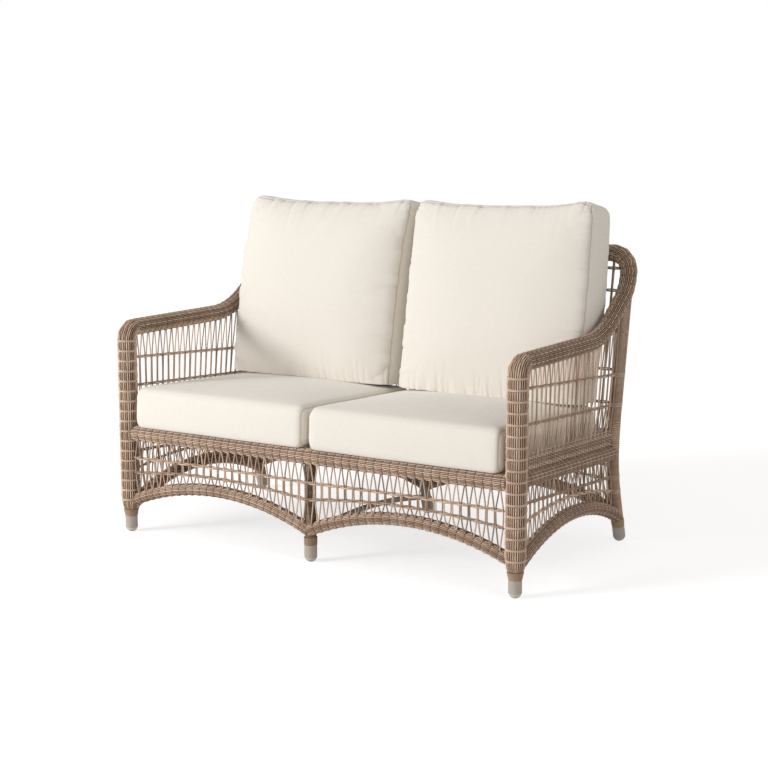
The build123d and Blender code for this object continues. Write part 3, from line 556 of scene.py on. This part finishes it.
# Lattices: pairs of strands bundled at twined rows, parted at the rails and arches. The strands
# run on into the covers: inRail and the like are depths below a cover's surface, overArch and
# overSideArch heights over an arch's axis, and lift is how far a panel lies out of the axes.
latticeSize = {"strand": 0.0042, "half": 0.0022, "row": 0.0050, "rowSwing": 0.0034, "rowRise": 0.0024,
               "stray": 0.0008, "step": 0.03, "parted": 0.43, "rowParts": 4, "lift": 0.012,
               "overArch": 0.014, "overSideArch": 0.018, "inRail": 0.006, "inSideRail": 0.005,
               "inArm": 0.005}
bundleCounts = {"front": 48, "side": 22, "back": 49}


def strayed(reach):
    return random.uniform(-reach, reach)


def lattice(name, nodes, place, start, end, count, bottom, rows, top, lift, fanBottom=True, fanTop=True):
    # start and end give s at a height; bottom, rows and top give a height for a share
    half, stray = latticeSize["half"], latticeSize["stray"]
    runs = []
    for bundle in range(count + 1):
        for way in (-1, 1):
            if bundle + way < 0 or bundle + way > count:
                continue
            run = []
            for level, height in enumerate([bottom] + rows + [top]):
                fanned = (level == 0 and fanBottom) or (level == len(rows) + 1 and fanTop)
                share = (bundle + (way * latticeSize["parted"] if fanned else 0)) / count
                z = height(share)
                s = start(z) + share * (end(z) - start(z)) + (0 if fanned else way * half)
                run.append(place(s + strayed(stray), z, lift + strayed(stray / 2)))
            runs.append(evenly(run, latticeSize["step"]))
    addStrands(name, runs, latticeSize["strand"], resinTones, nodes, sides=1)
    twined, rowParts = [], latticeSize["rowParts"]
    for height in rows:
        for way in (-1, 1):
            run = []
            for part in range(rowParts * count + 1):
                share = part / (rowParts * count)
                z, turn = height(share), pi * part / rowParts
                s = start(z) + share * (end(z) - start(z))
                run.append(place(s, z + way * latticeSize["rowRise"],
                                 lift + way * latticeSize["rowSwing"] * cos(turn)))
            twined.append(run)
    addStrands(name + "Rows", twined, latticeSize["row"], resinTones, sides=1)


def even(first, last, bow=0.0):
    # a height that runs evenly from one end to the other, raised by a bow between them
    return lambda share: first + (last - first) * share + bow * 4 * share * (1 - share)


def archTop(share, end):
    # where a strand ends over one of the two arches of a front or rear panel
    offset = abs(abs(2 * share - 1) * end - frontHalf)
    reach = (frontHalf ** 2 + lines["frontArchRise"] ** 2) / (2 * lines["frontArchRise"])
    return lines["frontArchPeak"] - reach + sqrt((reach + latticeSize["overArch"]) ** 2 - offset ** 2)


def bayRow(height, bow, end):
    # a row that rises a little over each arch
    return lambda share: height + bow * (1 - (abs(abs(2 * share - 1) * end - frontHalf) / frontHalf) ** 2)


# a height and a bow in front, heights at the front and rear end (and a bow) at the sides
rowHeights = {"frontLower": (0.191, 0.024), "frontUpper": (0.243, 0.004),
              "sideLower": (0.198, 0.170, 0.032), "sideUpper": (0.256, 0.217),
              "leftArmLower": (0.467, 0.430), "leftArmUpper": (0.557, 0.514),
              "rightArmLower": (0.477, 0.441), "rightArmUpper": (0.578, 0.532),
              "back": (0.443, 0.543, 0.662, 0.781, 0.848)}
for name, nodes, place, end, railUnder in (
        ("frontLattice", ["front_lattice"], onFront, legX - radiusOf["post"],
         frontRailZ - radiusOf["frontRail"] + latticeSize["inRail"]),
        ("rearLattice", ["rear_lattice"], onRear, legX - radiusOf["rearWrap"],
         railRearZ - radiusOf["rail"] + latticeSize["inRail"])):
    lattice(name, nodes, place, lambda z, end=end: -end, lambda z, end=end: end,
            bundleCounts["front"], lambda share, end=end: archTop(share, end),
            [bayRow(*rowHeights["frontLower"], end), bayRow(*rowHeights["frontUpper"], end)],
            even(railUnder, railUnder), latticeSize["lift"])

sideStart = frontY + radiusOf["post"]


def sideEnd(z):
    return rearLegY(z) - radiusOf["rearWrap"]


def armUnder(y):
    # the height at which a strand enters the arm's underside
    drop = radiusOf["arm"] - latticeSize["inArm"]
    reach, turn = lines["swoopRadius"] + drop, lines["swoopAngle"]
    startY = swoopY - lines["swoopRadius"] * tan(turn / 2)
    if y < startY:
        return armZ - drop
    if y < startY + reach * sin(turn):
        return armZ + lines["swoopRadius"] - sqrt(reach ** 2 - (y - startY) ** 2)
    return armZ + (y - swoopY) * tan(turn) - drop / cos(turn)


def alongSide(heightAt, levelZ):
    # a share of the side at a level, turned into the height there
    return lambda share: heightAt(sideStart + share * (sideEnd(levelZ) - sideStart))


bandStyle = {"rise": 0.047, "below": 0.004, "pitch": 0.0047, "swing": 0.0009, "rib": 0.003,
             "ribParts": 4, "sideRibs": 44, "backRibs": 98}
sideLevels = {"arch": 0.17, "rail": 0.3, "bandLow": 0.34, "bandTop": 0.37, "arm": 0.65}
sideReach = ((sideEndY - frontY) / 2) ** 2 / (2 * lines["sideArchRise"]) + lines["sideArchRise"] / 2
sideArchTop = alongSide(lambda y: lines["sideArchPeak"] - sideReach + sqrt(
    (sideReach + latticeSize["overSideArch"]) ** 2 - (y - (frontY + sideEndY) / 2) ** 2),
    sideLevels["arch"])
sideRailUnder = alongSide(lambda y: seatZ(y) - 2 * radiusOf["rail"] + latticeSize["inSideRail"],
                          sideLevels["rail"])
sideBandLow = alongSide(lambda y: seatZ(y) - bandStyle["below"], sideLevels["bandLow"])
sideBandTop = alongSide(lambda y: seatZ(y) + bandStyle["rise"], sideLevels["bandTop"])
for label, way in (("left", -1), ("right", 1)):
    place = onSide(way * legX)
    lattice(f"{label}LowerLattice", [f"{label}_lower_lattice"], place, lambda z: sideStart, sideEnd,
            bundleCounts["side"], sideArchTop,
            [even(*rowHeights["sideLower"]), even(*rowHeights["sideUpper"])], sideRailUnder, 0.0)
    lattice(f"{label}ArmLattice", [f"{label}_arm_lattice"], place, lambda z: sideStart, sideEnd,
            bundleCounts["side"], lambda share: sideBandTop(share) - latticeSize["inRail"],
            [even(*rowHeights[f"{label}ArmLower"]), even(*rowHeights[f"{label}ArmUpper"])],
            alongSide(armUnder, sideLevels["arm"]), 0.0)


def onBack(s, z, depth=0.0):
    # the back panel leans with the upper legs; depth runs out of the back
    return Vector((s, waistY + (z - lines["waistZ"]) * leanRun + depth, z))


backEnd = legX - radiusOf["rearWrap"]
backRailTop = seatZ(railRearY)
backBandTop = backRailTop + bandStyle["rise"]
backLow, backHigh = backBandTop - latticeSize["inRail"], topZ - radiusOf["arm"] + latticeSize["inRail"]
lattice("backLattice", ["back_lattice"], onBack, lambda z: -backEnd, lambda z: backEnd,
        bundleCounts["back"], even(backLow, backLow), [even(z, z) for z in rowHeights["back"]],
        even(backHigh, backHigh), 0.0, fanTop=False)
print("lattices made")


def closedBand(name, nodes, place, start, end, low, high, ribs):
    # a band over a rail: level strands over and under upright ribs
    rowCount = round((high(0.5) - low(0.5)) / bandStyle["pitch"])
    runs, ribParts = [], bandStyle["ribParts"]
    for row in range(rowCount + 1):
        run = []
        for part in range(ribParts * ribs + 1):
            share = part / (ribParts * ribs)
            z = low(share) + (high(share) - low(share)) * row / rowCount
            s = start(z) + share * (end(z) - start(z))
            run.append(place(s, z, bandStyle["swing"] * cos(pi * part / ribParts + pi * row)))
        runs.append(run)
    addStrands(name, runs, weaveStyle["strand"], resinTones, nodes)
    uprights = []
    for rib in range(ribs + 1):
        share = rib / ribs
        uprights.append([place(start(z) + share * (end(z) - start(z)), z, 0.0)
                         for z in (low(share), high(share))])
    # the upright ribs are drawn in the near-black painted shade colour, as dark recess lines
    addStrands(name + "Ribs", uprights, bandStyle["rib"], [paintedShadeCore])


for label, way in (("left", -1), ("right", 1)):
    closedBand(f"{label}SideBand", [f"{label}_side_band"], onSide(way * legX), lambda z: sideStart,
               sideEnd, sideBandLow, sideBandTop, bandStyle["sideRibs"])
backBandLow = backRailTop - bandStyle["below"]
closedBand("backBand", ["back_band"], onBack, lambda z: -backEnd, lambda z: backEnd,
           even(backBandLow, backBandLow), even(backBandTop, backBandTop), bandStyle["backRibs"])
print("bands made")


# Cushions: an even mesh of a rounded box, swollen as cloth, then gathered along its seams. The
# box starts smaller by "smaller", and "cap" is the most that the cloth may swell.
seatSize = {"width": 0.648, "depth": 0.640, "thick": 0.130, "gap": 0.004, "overhang": 0.005,
            "crown": 0.010, "drawnIn": 0.001, "corner": 0.026, "edge": 0.030, "voxel": 0.008,
            "cap": 0.022, "smaller": 0.006, "heldReach": 0.05, "wrapped": 0.009, "rest": 0.0003,
            "flatter": 1.17, "sag": 0.006, "sagStart": 0.020, "sagRun": 0.014,
            "topProud": 0.006, "frontProud": 0.006, "sideProud": 0.001,
            "gather": 0.0014, "puckerReach": 0.022, "wave": 0.0014, "groove": 0.0014}
backSize = {"width": 0.625, "thick": 0.158, "gap": 0.024, "shift": 0.008, "lean": radians(10.5),
            "topZ": 1.046, "frontCrown": 0.042, "rearCrown": 0.010, "fullness": 4.5, "drawnIn": 0.008,
            "corner": 0.040, "edge": 0.022, "voxel": 0.008, "cap": 0.026, "smaller": 0.006,
            "heldReach": 0.04, "wrapped": 0, "sink": 0.040, "restOffset": 0.1218, "ears": 0.016,
            "gather": 0.0052, "puckerReach": 0.042, "wave": 0.0030, "groove": 0.0018,
            "seamRun": 0.05, "earLevel": 0.25, "rearFlat": 0.0012, "leftProud": 0.005,
            "rightProud": 0.013, "footCrown": 0.7, "footClear": 0.001, "footGive": 0.04,
            "footRound": 0.4, "footPucker": 0.0048, "footReach": 0.040}
clothStyle = {"pressure": 4.0, "stretch": 12.0, "bend": 0.6, "steps": 20}


def cushionStart(name, width, height, size):
    # a box with rounded corners and edges, then an even mesh of it
    thick = size["thick"] - size["smaller"]
    mesh = bpy.data.meshes.new(name)
    form = bmesh.new()
    bmesh.ops.create_cube(form, size=1.0)
    bmesh.ops.scale(form, vec=(width, height, thick), verts=form.verts)
    for offset, segments, isUpright in ((size["corner"], 5, True), (size["edge"], 4, False)):
        edges = [edge for edge in form.edges
                 if (abs(edge.verts[0].co.z - edge.verts[1].co.z) > thick / 4) == isUpright]
        bmesh.ops.bevel(form, geom=edges, offset=offset, offset_type="OFFSET", segments=segments,
                        profile=0.5, affect="EDGES", material=-1)
    form.to_mesh(mesh)
    form.free()
    piece = bpy.data.objects.new(name, mesh)
    bpy.context.collection.objects.link(piece)
    remesh = piece.modifiers.new("even", "REMESH")
    remesh.mode, remesh.voxel_size = "VOXEL", size["voxel"]
    applied(piece)
    start = piece.data.attributes.new("start", "FLOAT_VECTOR", "POINT")
    start.data.foreach_set("vector", [value for vertex in piece.data.vertices for value in vertex.co])
    held = piece.vertex_groups.new(name="held")
    for vertex in piece.data.vertices:
        away = seamAway(vertex.co, width / 2, height / 2, thick / 2, size["edge"])
        held.add([vertex.index], max(0.0, 1 - abs(away) / size["heldReach"]), "REPLACE")
    return piece


def seamAway(p, a, b, half, edge):
    # distance over the cloth from the nearest seam, below zero on the side wall
    inset = max(0.0, min(a - abs(p.x), b - abs(p.y)))
    down = max(0.0, half - abs(p.z))
    if inset >= edge:
        return inset - edge + edge * pi / 4
    if down >= edge:
        return -(down - edge + edge * pi / 4)
    return edge * (atan2(edge - down, edge - inset) - pi / 4)


def applied(piece):
    # the piece's mesh with its modifiers in it
    bpy.context.view_layer.update()
    graph = bpy.context.evaluated_depsgraph_get()
    mesh = bpy.data.meshes.new_from_object(piece.evaluated_get(graph))
    piece.modifiers.clear()
    piece.data = mesh


def swell(piece, size):
    # cloth blown up a little from inside, with each point held near its start
    before = [vertex.co.copy() for vertex in piece.data.vertices]
    cloth = piece.modifiers.new("cloth", "CLOTH")
    settings = cloth.settings
    settings.use_pressure = True
    settings.uniform_pressure_force = clothStyle["pressure"]
    settings.effector_weights.gravity = 0.0
    settings.tension_stiffness = settings.compression_stiffness = clothStyle["stretch"]
    settings.bending_stiffness = clothStyle["bend"]
    settings.vertex_group_mass = "held"
    settings.pin_stiffness = 1.0
    cloth.point_cache.frame_start, cloth.point_cache.frame_end = 1, clothStyle["steps"]
    for step in range(1, clothStyle["steps"] + 1):
        bpy.context.scene.frame_set(step)
    applied(piece)
    bpy.context.scene.frame_set(1)
    for vertex, start in zip(piece.data.vertices, before):
        move = vertex.co - start
        if move.length > size["cap"]:
            vertex.co = start + move.normalized() * size["cap"]


# Gathers: lengths in metres over which they change along a seam (and, as Run, away from it),
# shares by which they change, and the places of the two seams in the noise
gatherStyle = {"wander": 0.08, "wanderShare": 0.3, "reach": 0.05, "reachShare": 0.8, "wallShare": 0.4,
               "strength": 0.11, "weakest": 0.5, "strengthShare": 0.9, "pucker": 0.030,
               "puckerRun": 0.16, "crease": 0.22, "gather": 0.019, "gatherRun": 0.09,
               "gatherShare": 0.5, "rearShare": 0.5, "grooveWidth": 0.0040, "front": 3.7, "rear": 11.3,
               "wavesPerMetre": 6, "wavesThrough": 4}
footFold = {"across": 0.026, "up": 0.25, "crease": 0.25, "slowAcross": 0.05, "slowUp": 0.2, "slow": 0.7}


def fading(share):
    # 1 at 0, a third at 1 and then less and less
    return 2.718 ** -share


def gathered(piece, width, height, size, seed):
    # a groove along both seams, sharp puckers that run in from it, and slow waves. A wrapped
    # cover has its seams round the two side panels only.
    smooth = piece.modifiers.new("smooth", "SUBSURF")
    smooth.levels = smooth.render_levels = 1
    applied(piece)
    style, edge, a, b = gatherStyle, size["edge"], width / 2, height / 2
    half = (size["thick"] - size["smaller"]) / 2
    normals = [vertex.normal.copy() for vertex in piece.data.vertices]
    starts = [value.vector.copy() for value in piece.data.attributes["start"].data]
    seam = piece.data.attributes.new("seamDistance", "FLOAT", "POINT")
    for vertex, normal, p, kept in zip(piece.data.vertices, normals, starts, seam.data):
        if size["wrapped"]:
            away, around = a - abs(p.x) - size["wrapped"], p.y + 2 * p.z
        else:
            away, around = seamAway(p, a, b, half, edge), p.x if b - abs(p.y) < a - abs(p.x) else p.y
        kept.value = away
        side, deep = style["front"] if p.z > 0 else style["rear"], abs(away)
        around += style["wanderShare"] * away * noise.noise(
            Vector((around / style["wander"], side, seed + 9)))
        reach = size["puckerReach"] * (1 + style["reachShare"] * noise.noise(
            Vector((around / style["reach"], side, seed + 7))))
        fade = fading(deep / (reach if away > 0 else style["wallShare"] * reach))
        strong = style["weakest"] + style["strengthShare"] * abs(noise.noise(
            Vector((around / style["strength"], side, seed + 2))))
        pucker = noise.noise(Vector((around / style["pucker"], side + deep / style["puckerRun"], seed)))
        crease = (1 - min(1, abs(pucker) / style["crease"])) ** 2
        gather = style["gatherShare"] * noise.noise(
            Vector((around / style["gather"], side + deep / style["gatherRun"], seed + 4)))
        slow = noise.noise(Vector((p.x * style["wavesPerMetre"], p.y * style["wavesPerMetre"],
                                   seed + p.z * style["wavesThrough"])))
        fade *= 1 if p.z > 0 else style["rearShare"]
        rise = (size["gather"] * strong * (pucker + gather - crease) * fade
                + size["wave"] * slow - size["groove"] * fading((away / style["grooveWidth"]) ** 2))
        vertex.co += normal * rise
    piece.data.attributes.remove(piece.data.attributes["start"])


def finishCushion(piece, label, kind, filling, place):
    piece.data.transform(place)
    for polygon in piece.data.polygons:
        polygon.use_smooth = True
    piece.data.materials.clear()
    piece.data.materials.append(cushionCanvas)
    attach(piece, f"{label}_{kind}_cushion")
    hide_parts(f"{label}_{kind}_cover", f"{label}_{kind}_{filling}")


# The flat strip that a zip needs on a rear face, and how far it fades out past its ends and sides
zipStrip = {"halfLength": 0.2, "endFade": 0.03, "halfWidth": 0.013, "sideFade": 0.02,
            "seatIn": 0.0035, "seatFrom": 0.2, "backUp": 0.130, "backOut": 0.015, "under": 0.001}


def zipShare(along, across):
    # 1 on the strip, less beside it, 0 away from it
    return (max(0.0, 1 - max(0.0, abs(along) - zipStrip["halfLength"]) / zipStrip["endFade"])
            * max(0.0, 1 - max(0.0, abs(across) - zipStrip["halfWidth"]) / zipStrip["sideFade"]))


seatRearY = frontY - radiusOf["frontRail"] - seatSize["overhang"] + seatSize["depth"]
seatMiddleY = seatRearY - seatSize["depth"] / 2
tilt = atan2(slope, 1)
halfThick = seatSize["thick"] / 2
for label, way, seed in (("left", -1, 3.1), ("right", 1, 8.4)):
    size, a, b = seatSize, seatSize["width"] / 2, seatSize["depth"] / 2
    width, height = size["width"] - size["smaller"], size["depth"] - size["smaller"]
    piece = cushionStart(f"{label}SeatCushion", width, height, size)
    for vertex in piece.data.vertices:
        p = vertex.co
        u, v = min(1, abs(p.x) / a), min(1, abs(p.y) / b)
        if p.z > 0:
            p.z += size["crown"] * (1 - u ** 3) * (1 - v ** 3)
        p.x -= size["drawnIn"] * (1 - v * v) * p.x / a
        p.y -= size["drawnIn"] * (1 - u * u) * p.y / b
    swell(piece, size)
    gathered(piece, width, height, size, seed)
    wall = b - zipStrip["seatIn"]
    for vertex in piece.data.vertices:
        p = vertex.co
        p.z -= size["smaller"] / 2
        p.z *= size["flatter"] if p.z < 0 else 1
        # flat on the webbing, and sagging before the rail
        p.z = min(max(p.z, -halfThick), halfThick + size["crown"] + size["topProud"])
        if p.z < 0:
            before = min(1, max(0, (size["sagStart"] - b - p.y) / size["sagRun"]))
            p.z -= size["sag"] * before * min(1, -p.z / halfThick)
        p.x = max(-a - size["sideProud"], min(a + size["sideProud"], p.x))
        p.y = max(-b - size["frontProud"], min(b, p.y))
        if p.y > zipStrip["seatFrom"]:      # the zip lies on the rear wall
            p.y += (min(p.y, wall - zipStrip["under"]) - p.y) * zipShare(p.x, p.z)
    spot = Vector((way * (a + size["gap"] / 2), seatMiddleY, seatZ(seatMiddleY)))
    spot += Vector((0, sin(tilt), cos(tilt))) * (halfThick + size["rest"])
    place = Matrix.Translation(spot) @ Matrix.Rotation(-tilt, 4, "X")
    finishCushion(piece, label, "seat", "foam", place)
print("seat cushions made")

lean = backSize["lean"]
sinkZ = seatZ(seatRearY) + seatSize["thick"] - backSize["sink"]
backY = topY - backSize["restOffset"] / cos(lean) - (topZ - sinkZ) * tan(lean)
backHeight = (backSize["topZ"] - backSize["thick"] / 2 * sin(lean) - sinkZ) / cos(lean)
# how each sits: the rise of its upper edge, how far its sides stray at the top and low down,
# and how far its front seam lies behind the front of the box
backFit = {
    "left": {"way": -1, "seed": 1.7, "lift": 0.006, "slant": 0.002, "leftTop": -0.004, "leftLow": -0.020,
             "rightTop": 0.015, "rightLow": -0.010, "seamBack": 0.030},
    "right": {"way": 1, "seed": 5.2, "lift": 0.012, "slant": 0.006, "leftTop": 0.002, "leftLow": -0.005,
              "rightTop": -0.007, "rightLow": 0.007, "seamBack": 0.010},
}
for label, fit in backFit.items():
    size, a, b, way, seed = backSize, backSize["width"] / 2, backHeight / 2, fit["way"], fit["seed"]
    up, out = Vector((0, sin(lean), cos(lean))), Vector((0, -cos(lean), sin(lean)))
    turn = Matrix((Vector((1, 0, 0)), up, out)).transposed().to_4x4()
    spot = Vector((way * (a + size["gap"] / 2) + size["shift"], backY, sinkZ)) + up * b
    place = Matrix.Translation(spot) @ turn
    width, height = 2 * a - size["smaller"], 2 * b - size["smaller"]
    piece = cushionStart(f"{label}BackCushion", width, height, size)
    for vertex in piece.data.vertices:
        p = vertex.co
        u, v = min(1, abs(p.x) / a), min(1, abs(p.y) / b)
        full = (1 - u ** size["fullness"]) * (1 - v ** size["fullness"])
        if p.z > 0:
            p.z += ((size["frontCrown"] + fit["seamBack"]) * full
                    - fit["seamBack"] * min(1, p.z / size["seamRun"]))
        else:
            p.z -= size["rearCrown"] * full
        p.y -= size["drawnIn"] * (1 - u * u) * p.y / b
    swell(piece, size)
    gathered(piece, width, height, size, seed)
    zipY, rearZ = zipStrip["backUp"] - b, -size["thick"] / 2 - zipStrip["backOut"]
    back = place.inverted()
    for vertex in piece.data.vertices:
        p = vertex.co
        u, v = min(1, abs(p.x) / a), p.y / b
        p.y += size["ears"] * (u ** 4 - size["earLevel"]) * max(0, v) ** 3
        p.y += (fit["lift"] + fit["slant"] * p.x / a) * max(0, v)
        toRight, toTop = (1 + p.x / a) / 2, max(0, v) ** 2
        p.x += toRight * (fit["rightLow"] + (fit["rightTop"] - fit["rightLow"]) * toTop)
        p.x += (1 - toRight) * (fit["leftLow"] + (fit["leftTop"] - fit["leftLow"]) * toTop)
        p.z = max(p.z, rearZ + size["rearFlat"])
        p.x = max(-a + min(fit["leftLow"], -size["leftProud"]), min(a + size["rightProud"], p.x))
        if p.z < 0:             # the zip lies on the rear face
            p.z += (rearZ + zipStrip["under"] - p.z) * zipShare(p.x, p.y - zipY)
        world = place @ p
        floorZ = (seatZ(world.y) + seatSize["thick"] + seatSize["crown"] * size["footCrown"]
                  + size["footClear"])
        if p.z > 0:             # puckers above the seat cushion
            fold = noise.noise(Vector((p.x / footFold["across"], seed, p.y / footFold["up"])))
            depth = (1 - min(1, abs(fold) / footFold["crease"])) ** 2
            depth += footFold["slow"] * noise.noise(
                Vector((p.x / footFold["slowAcross"], seed + 3, p.y / footFold["slowUp"])))
            p.z -= size["footPucker"] * depth * fading(max(0, world.z - floorZ) / size["footReach"])
            world = place @ p
        if world.z < floorZ:    # it stands on the seat cushion
            under = (floorZ - world.z) * size["footRound"]
            world += Vector((-under * (p.x / a) ** 5, under if p.z > 0 else 0, 0))
            world.z = floorZ + (world.z - floorZ) * size["footGive"]
            vertex.co = back @ world
    finishCushion(piece, label, "back", "fill", place)
print("back cushions made")


# Camera, floor and light
cameraView = {"place": (2.636, -4.214, 1.327), "target": (0.040, -0.0095, 0.488), "lens": 75.86,
              "sensor": 36.0}
studio = {"floorSize": 12, "paper": "#e8e6e3", "paperSeen": "#c4c3c2", "paperLift": 0.70,
          "fill": 0.42, "fillColor": (1.0, 0.968, 0.93, 1)}
suns = {"keySun": {"from": (-0.60, -0.74, 0.30), "strength": 1.6, "angle": radians(14)},
        "rimSun": {"from": (0.92, -0.25, 0.3), "strength": 0.62, "angle": radians(40)}}
sidePanel = {"place": (-2.1, -2.3, 1.3), "from": (-2.1, -2.0, 0.8), "power": 30, "size": 1.6}

cameraData = bpy.data.cameras.new("camera")
cameraData.lens, cameraData.sensor_width = cameraView["lens"], cameraView["sensor"]
camera = bpy.data.objects.new("camera", cameraData)
bpy.context.collection.objects.link(camera)
camera.location = cameraView["place"]
aim = Vector(cameraView["target"]) - camera.location
camera.rotation_euler = aim.to_track_quat("-Z", "Y").to_euler()
bpy.context.scene.camera = camera

floorMesh = bpy.data.meshes.new("floor")
form = bmesh.new()
bmesh.ops.create_grid(form, x_segments=1, y_segments=1, size=studio["floorSize"])
form.to_mesh(floorMesh)
form.free()
floor = bpy.data.objects.new("floor", floorMesh)
bpy.context.collection.objects.link(floor)
# White paper sweep. The camera sees it lifted, so that it reads as white with a soft shadow.
paper, tree, surface = newMaterial("white paper", 0.9)
surface.inputs["Base Color"].default_value = linear(studio["paper"])
rays = node(tree, "ShaderNodeLightPath")
seen = node(tree, "ShaderNodeBsdfDiffuse", Color=linear(studio["paperSeen"]))
lifted = node(tree, "ShaderNodeEmission", Strength=studio["paperLift"], Color=(1, 1, 1, 1))
both = node(tree, "ShaderNodeAddShader", {0: seen.outputs["BSDF"], 1: lifted.outputs["Emission"]})
mixed = node(tree, "ShaderNodeMixShader", {0: rays.outputs["Is Camera Ray"], 1: surface.outputs["BSDF"],
                                           2: both.outputs["Shader"]})
tree.links.new(mixed.outputs["Shader"], tree.nodes["Material Output"].inputs["Surface"])
floorMesh.materials.append(paper)

world = bpy.data.worlds.new("studio")
bpy.context.scene.world = world
world.use_nodes = True
tree = world.node_tree
# A warm fill lights the object. The camera, gloss and clear things see plain white.
background = tree.nodes["Background"]
background.inputs["Strength"].default_value = studio["fill"]
background.inputs["Color"].default_value = studio["fillColor"]
rays = node(tree, "ShaderNodeLightPath")
seen = node(tree, "ShaderNodeMath", {0: rays.outputs["Is Camera Ray"], 1: rays.outputs["Is Glossy Ray"]},
            operation="MAXIMUM")
seen = node(tree, "ShaderNodeMath", {0: seen.outputs["Value"], 1: rays.outputs["Is Transmission Ray"]},
            operation="MAXIMUM")
white = node(tree, "ShaderNodeBackground", Strength=1.0, Color=(1, 1, 1, 1))
mixed = node(tree, "ShaderNodeMixShader", {0: seen.outputs["Value"], 1: background.outputs["Background"],
                                           2: white.outputs["Background"]})
tree.links.new(mixed.outputs["Shader"], tree.nodes["World Output"].inputs["Surface"])


def addLight(name, kind, come):
    # a light that shines from a direction
    light = bpy.data.objects.new(name, bpy.data.lights.new(name, kind))
    bpy.context.collection.objects.link(light)
    light.rotation_euler = Vector(come).to_track_quat("Z", "Y").to_euler()
    return light


for name, sun in suns.items():
    light = addLight(name, "SUN", sun["from"])
    light.data.energy, light.data.angle = sun["strength"], sun["angle"]
light = addLight("leftPanel", "AREA", sidePanel["from"])
light.data.energy, light.data.size = sidePanel["power"], sidePanel["size"]
light.location = sidePanel["place"]
print("floor, light and camera set")

bpy.context.scene.view_settings.view_transform = "Standard"
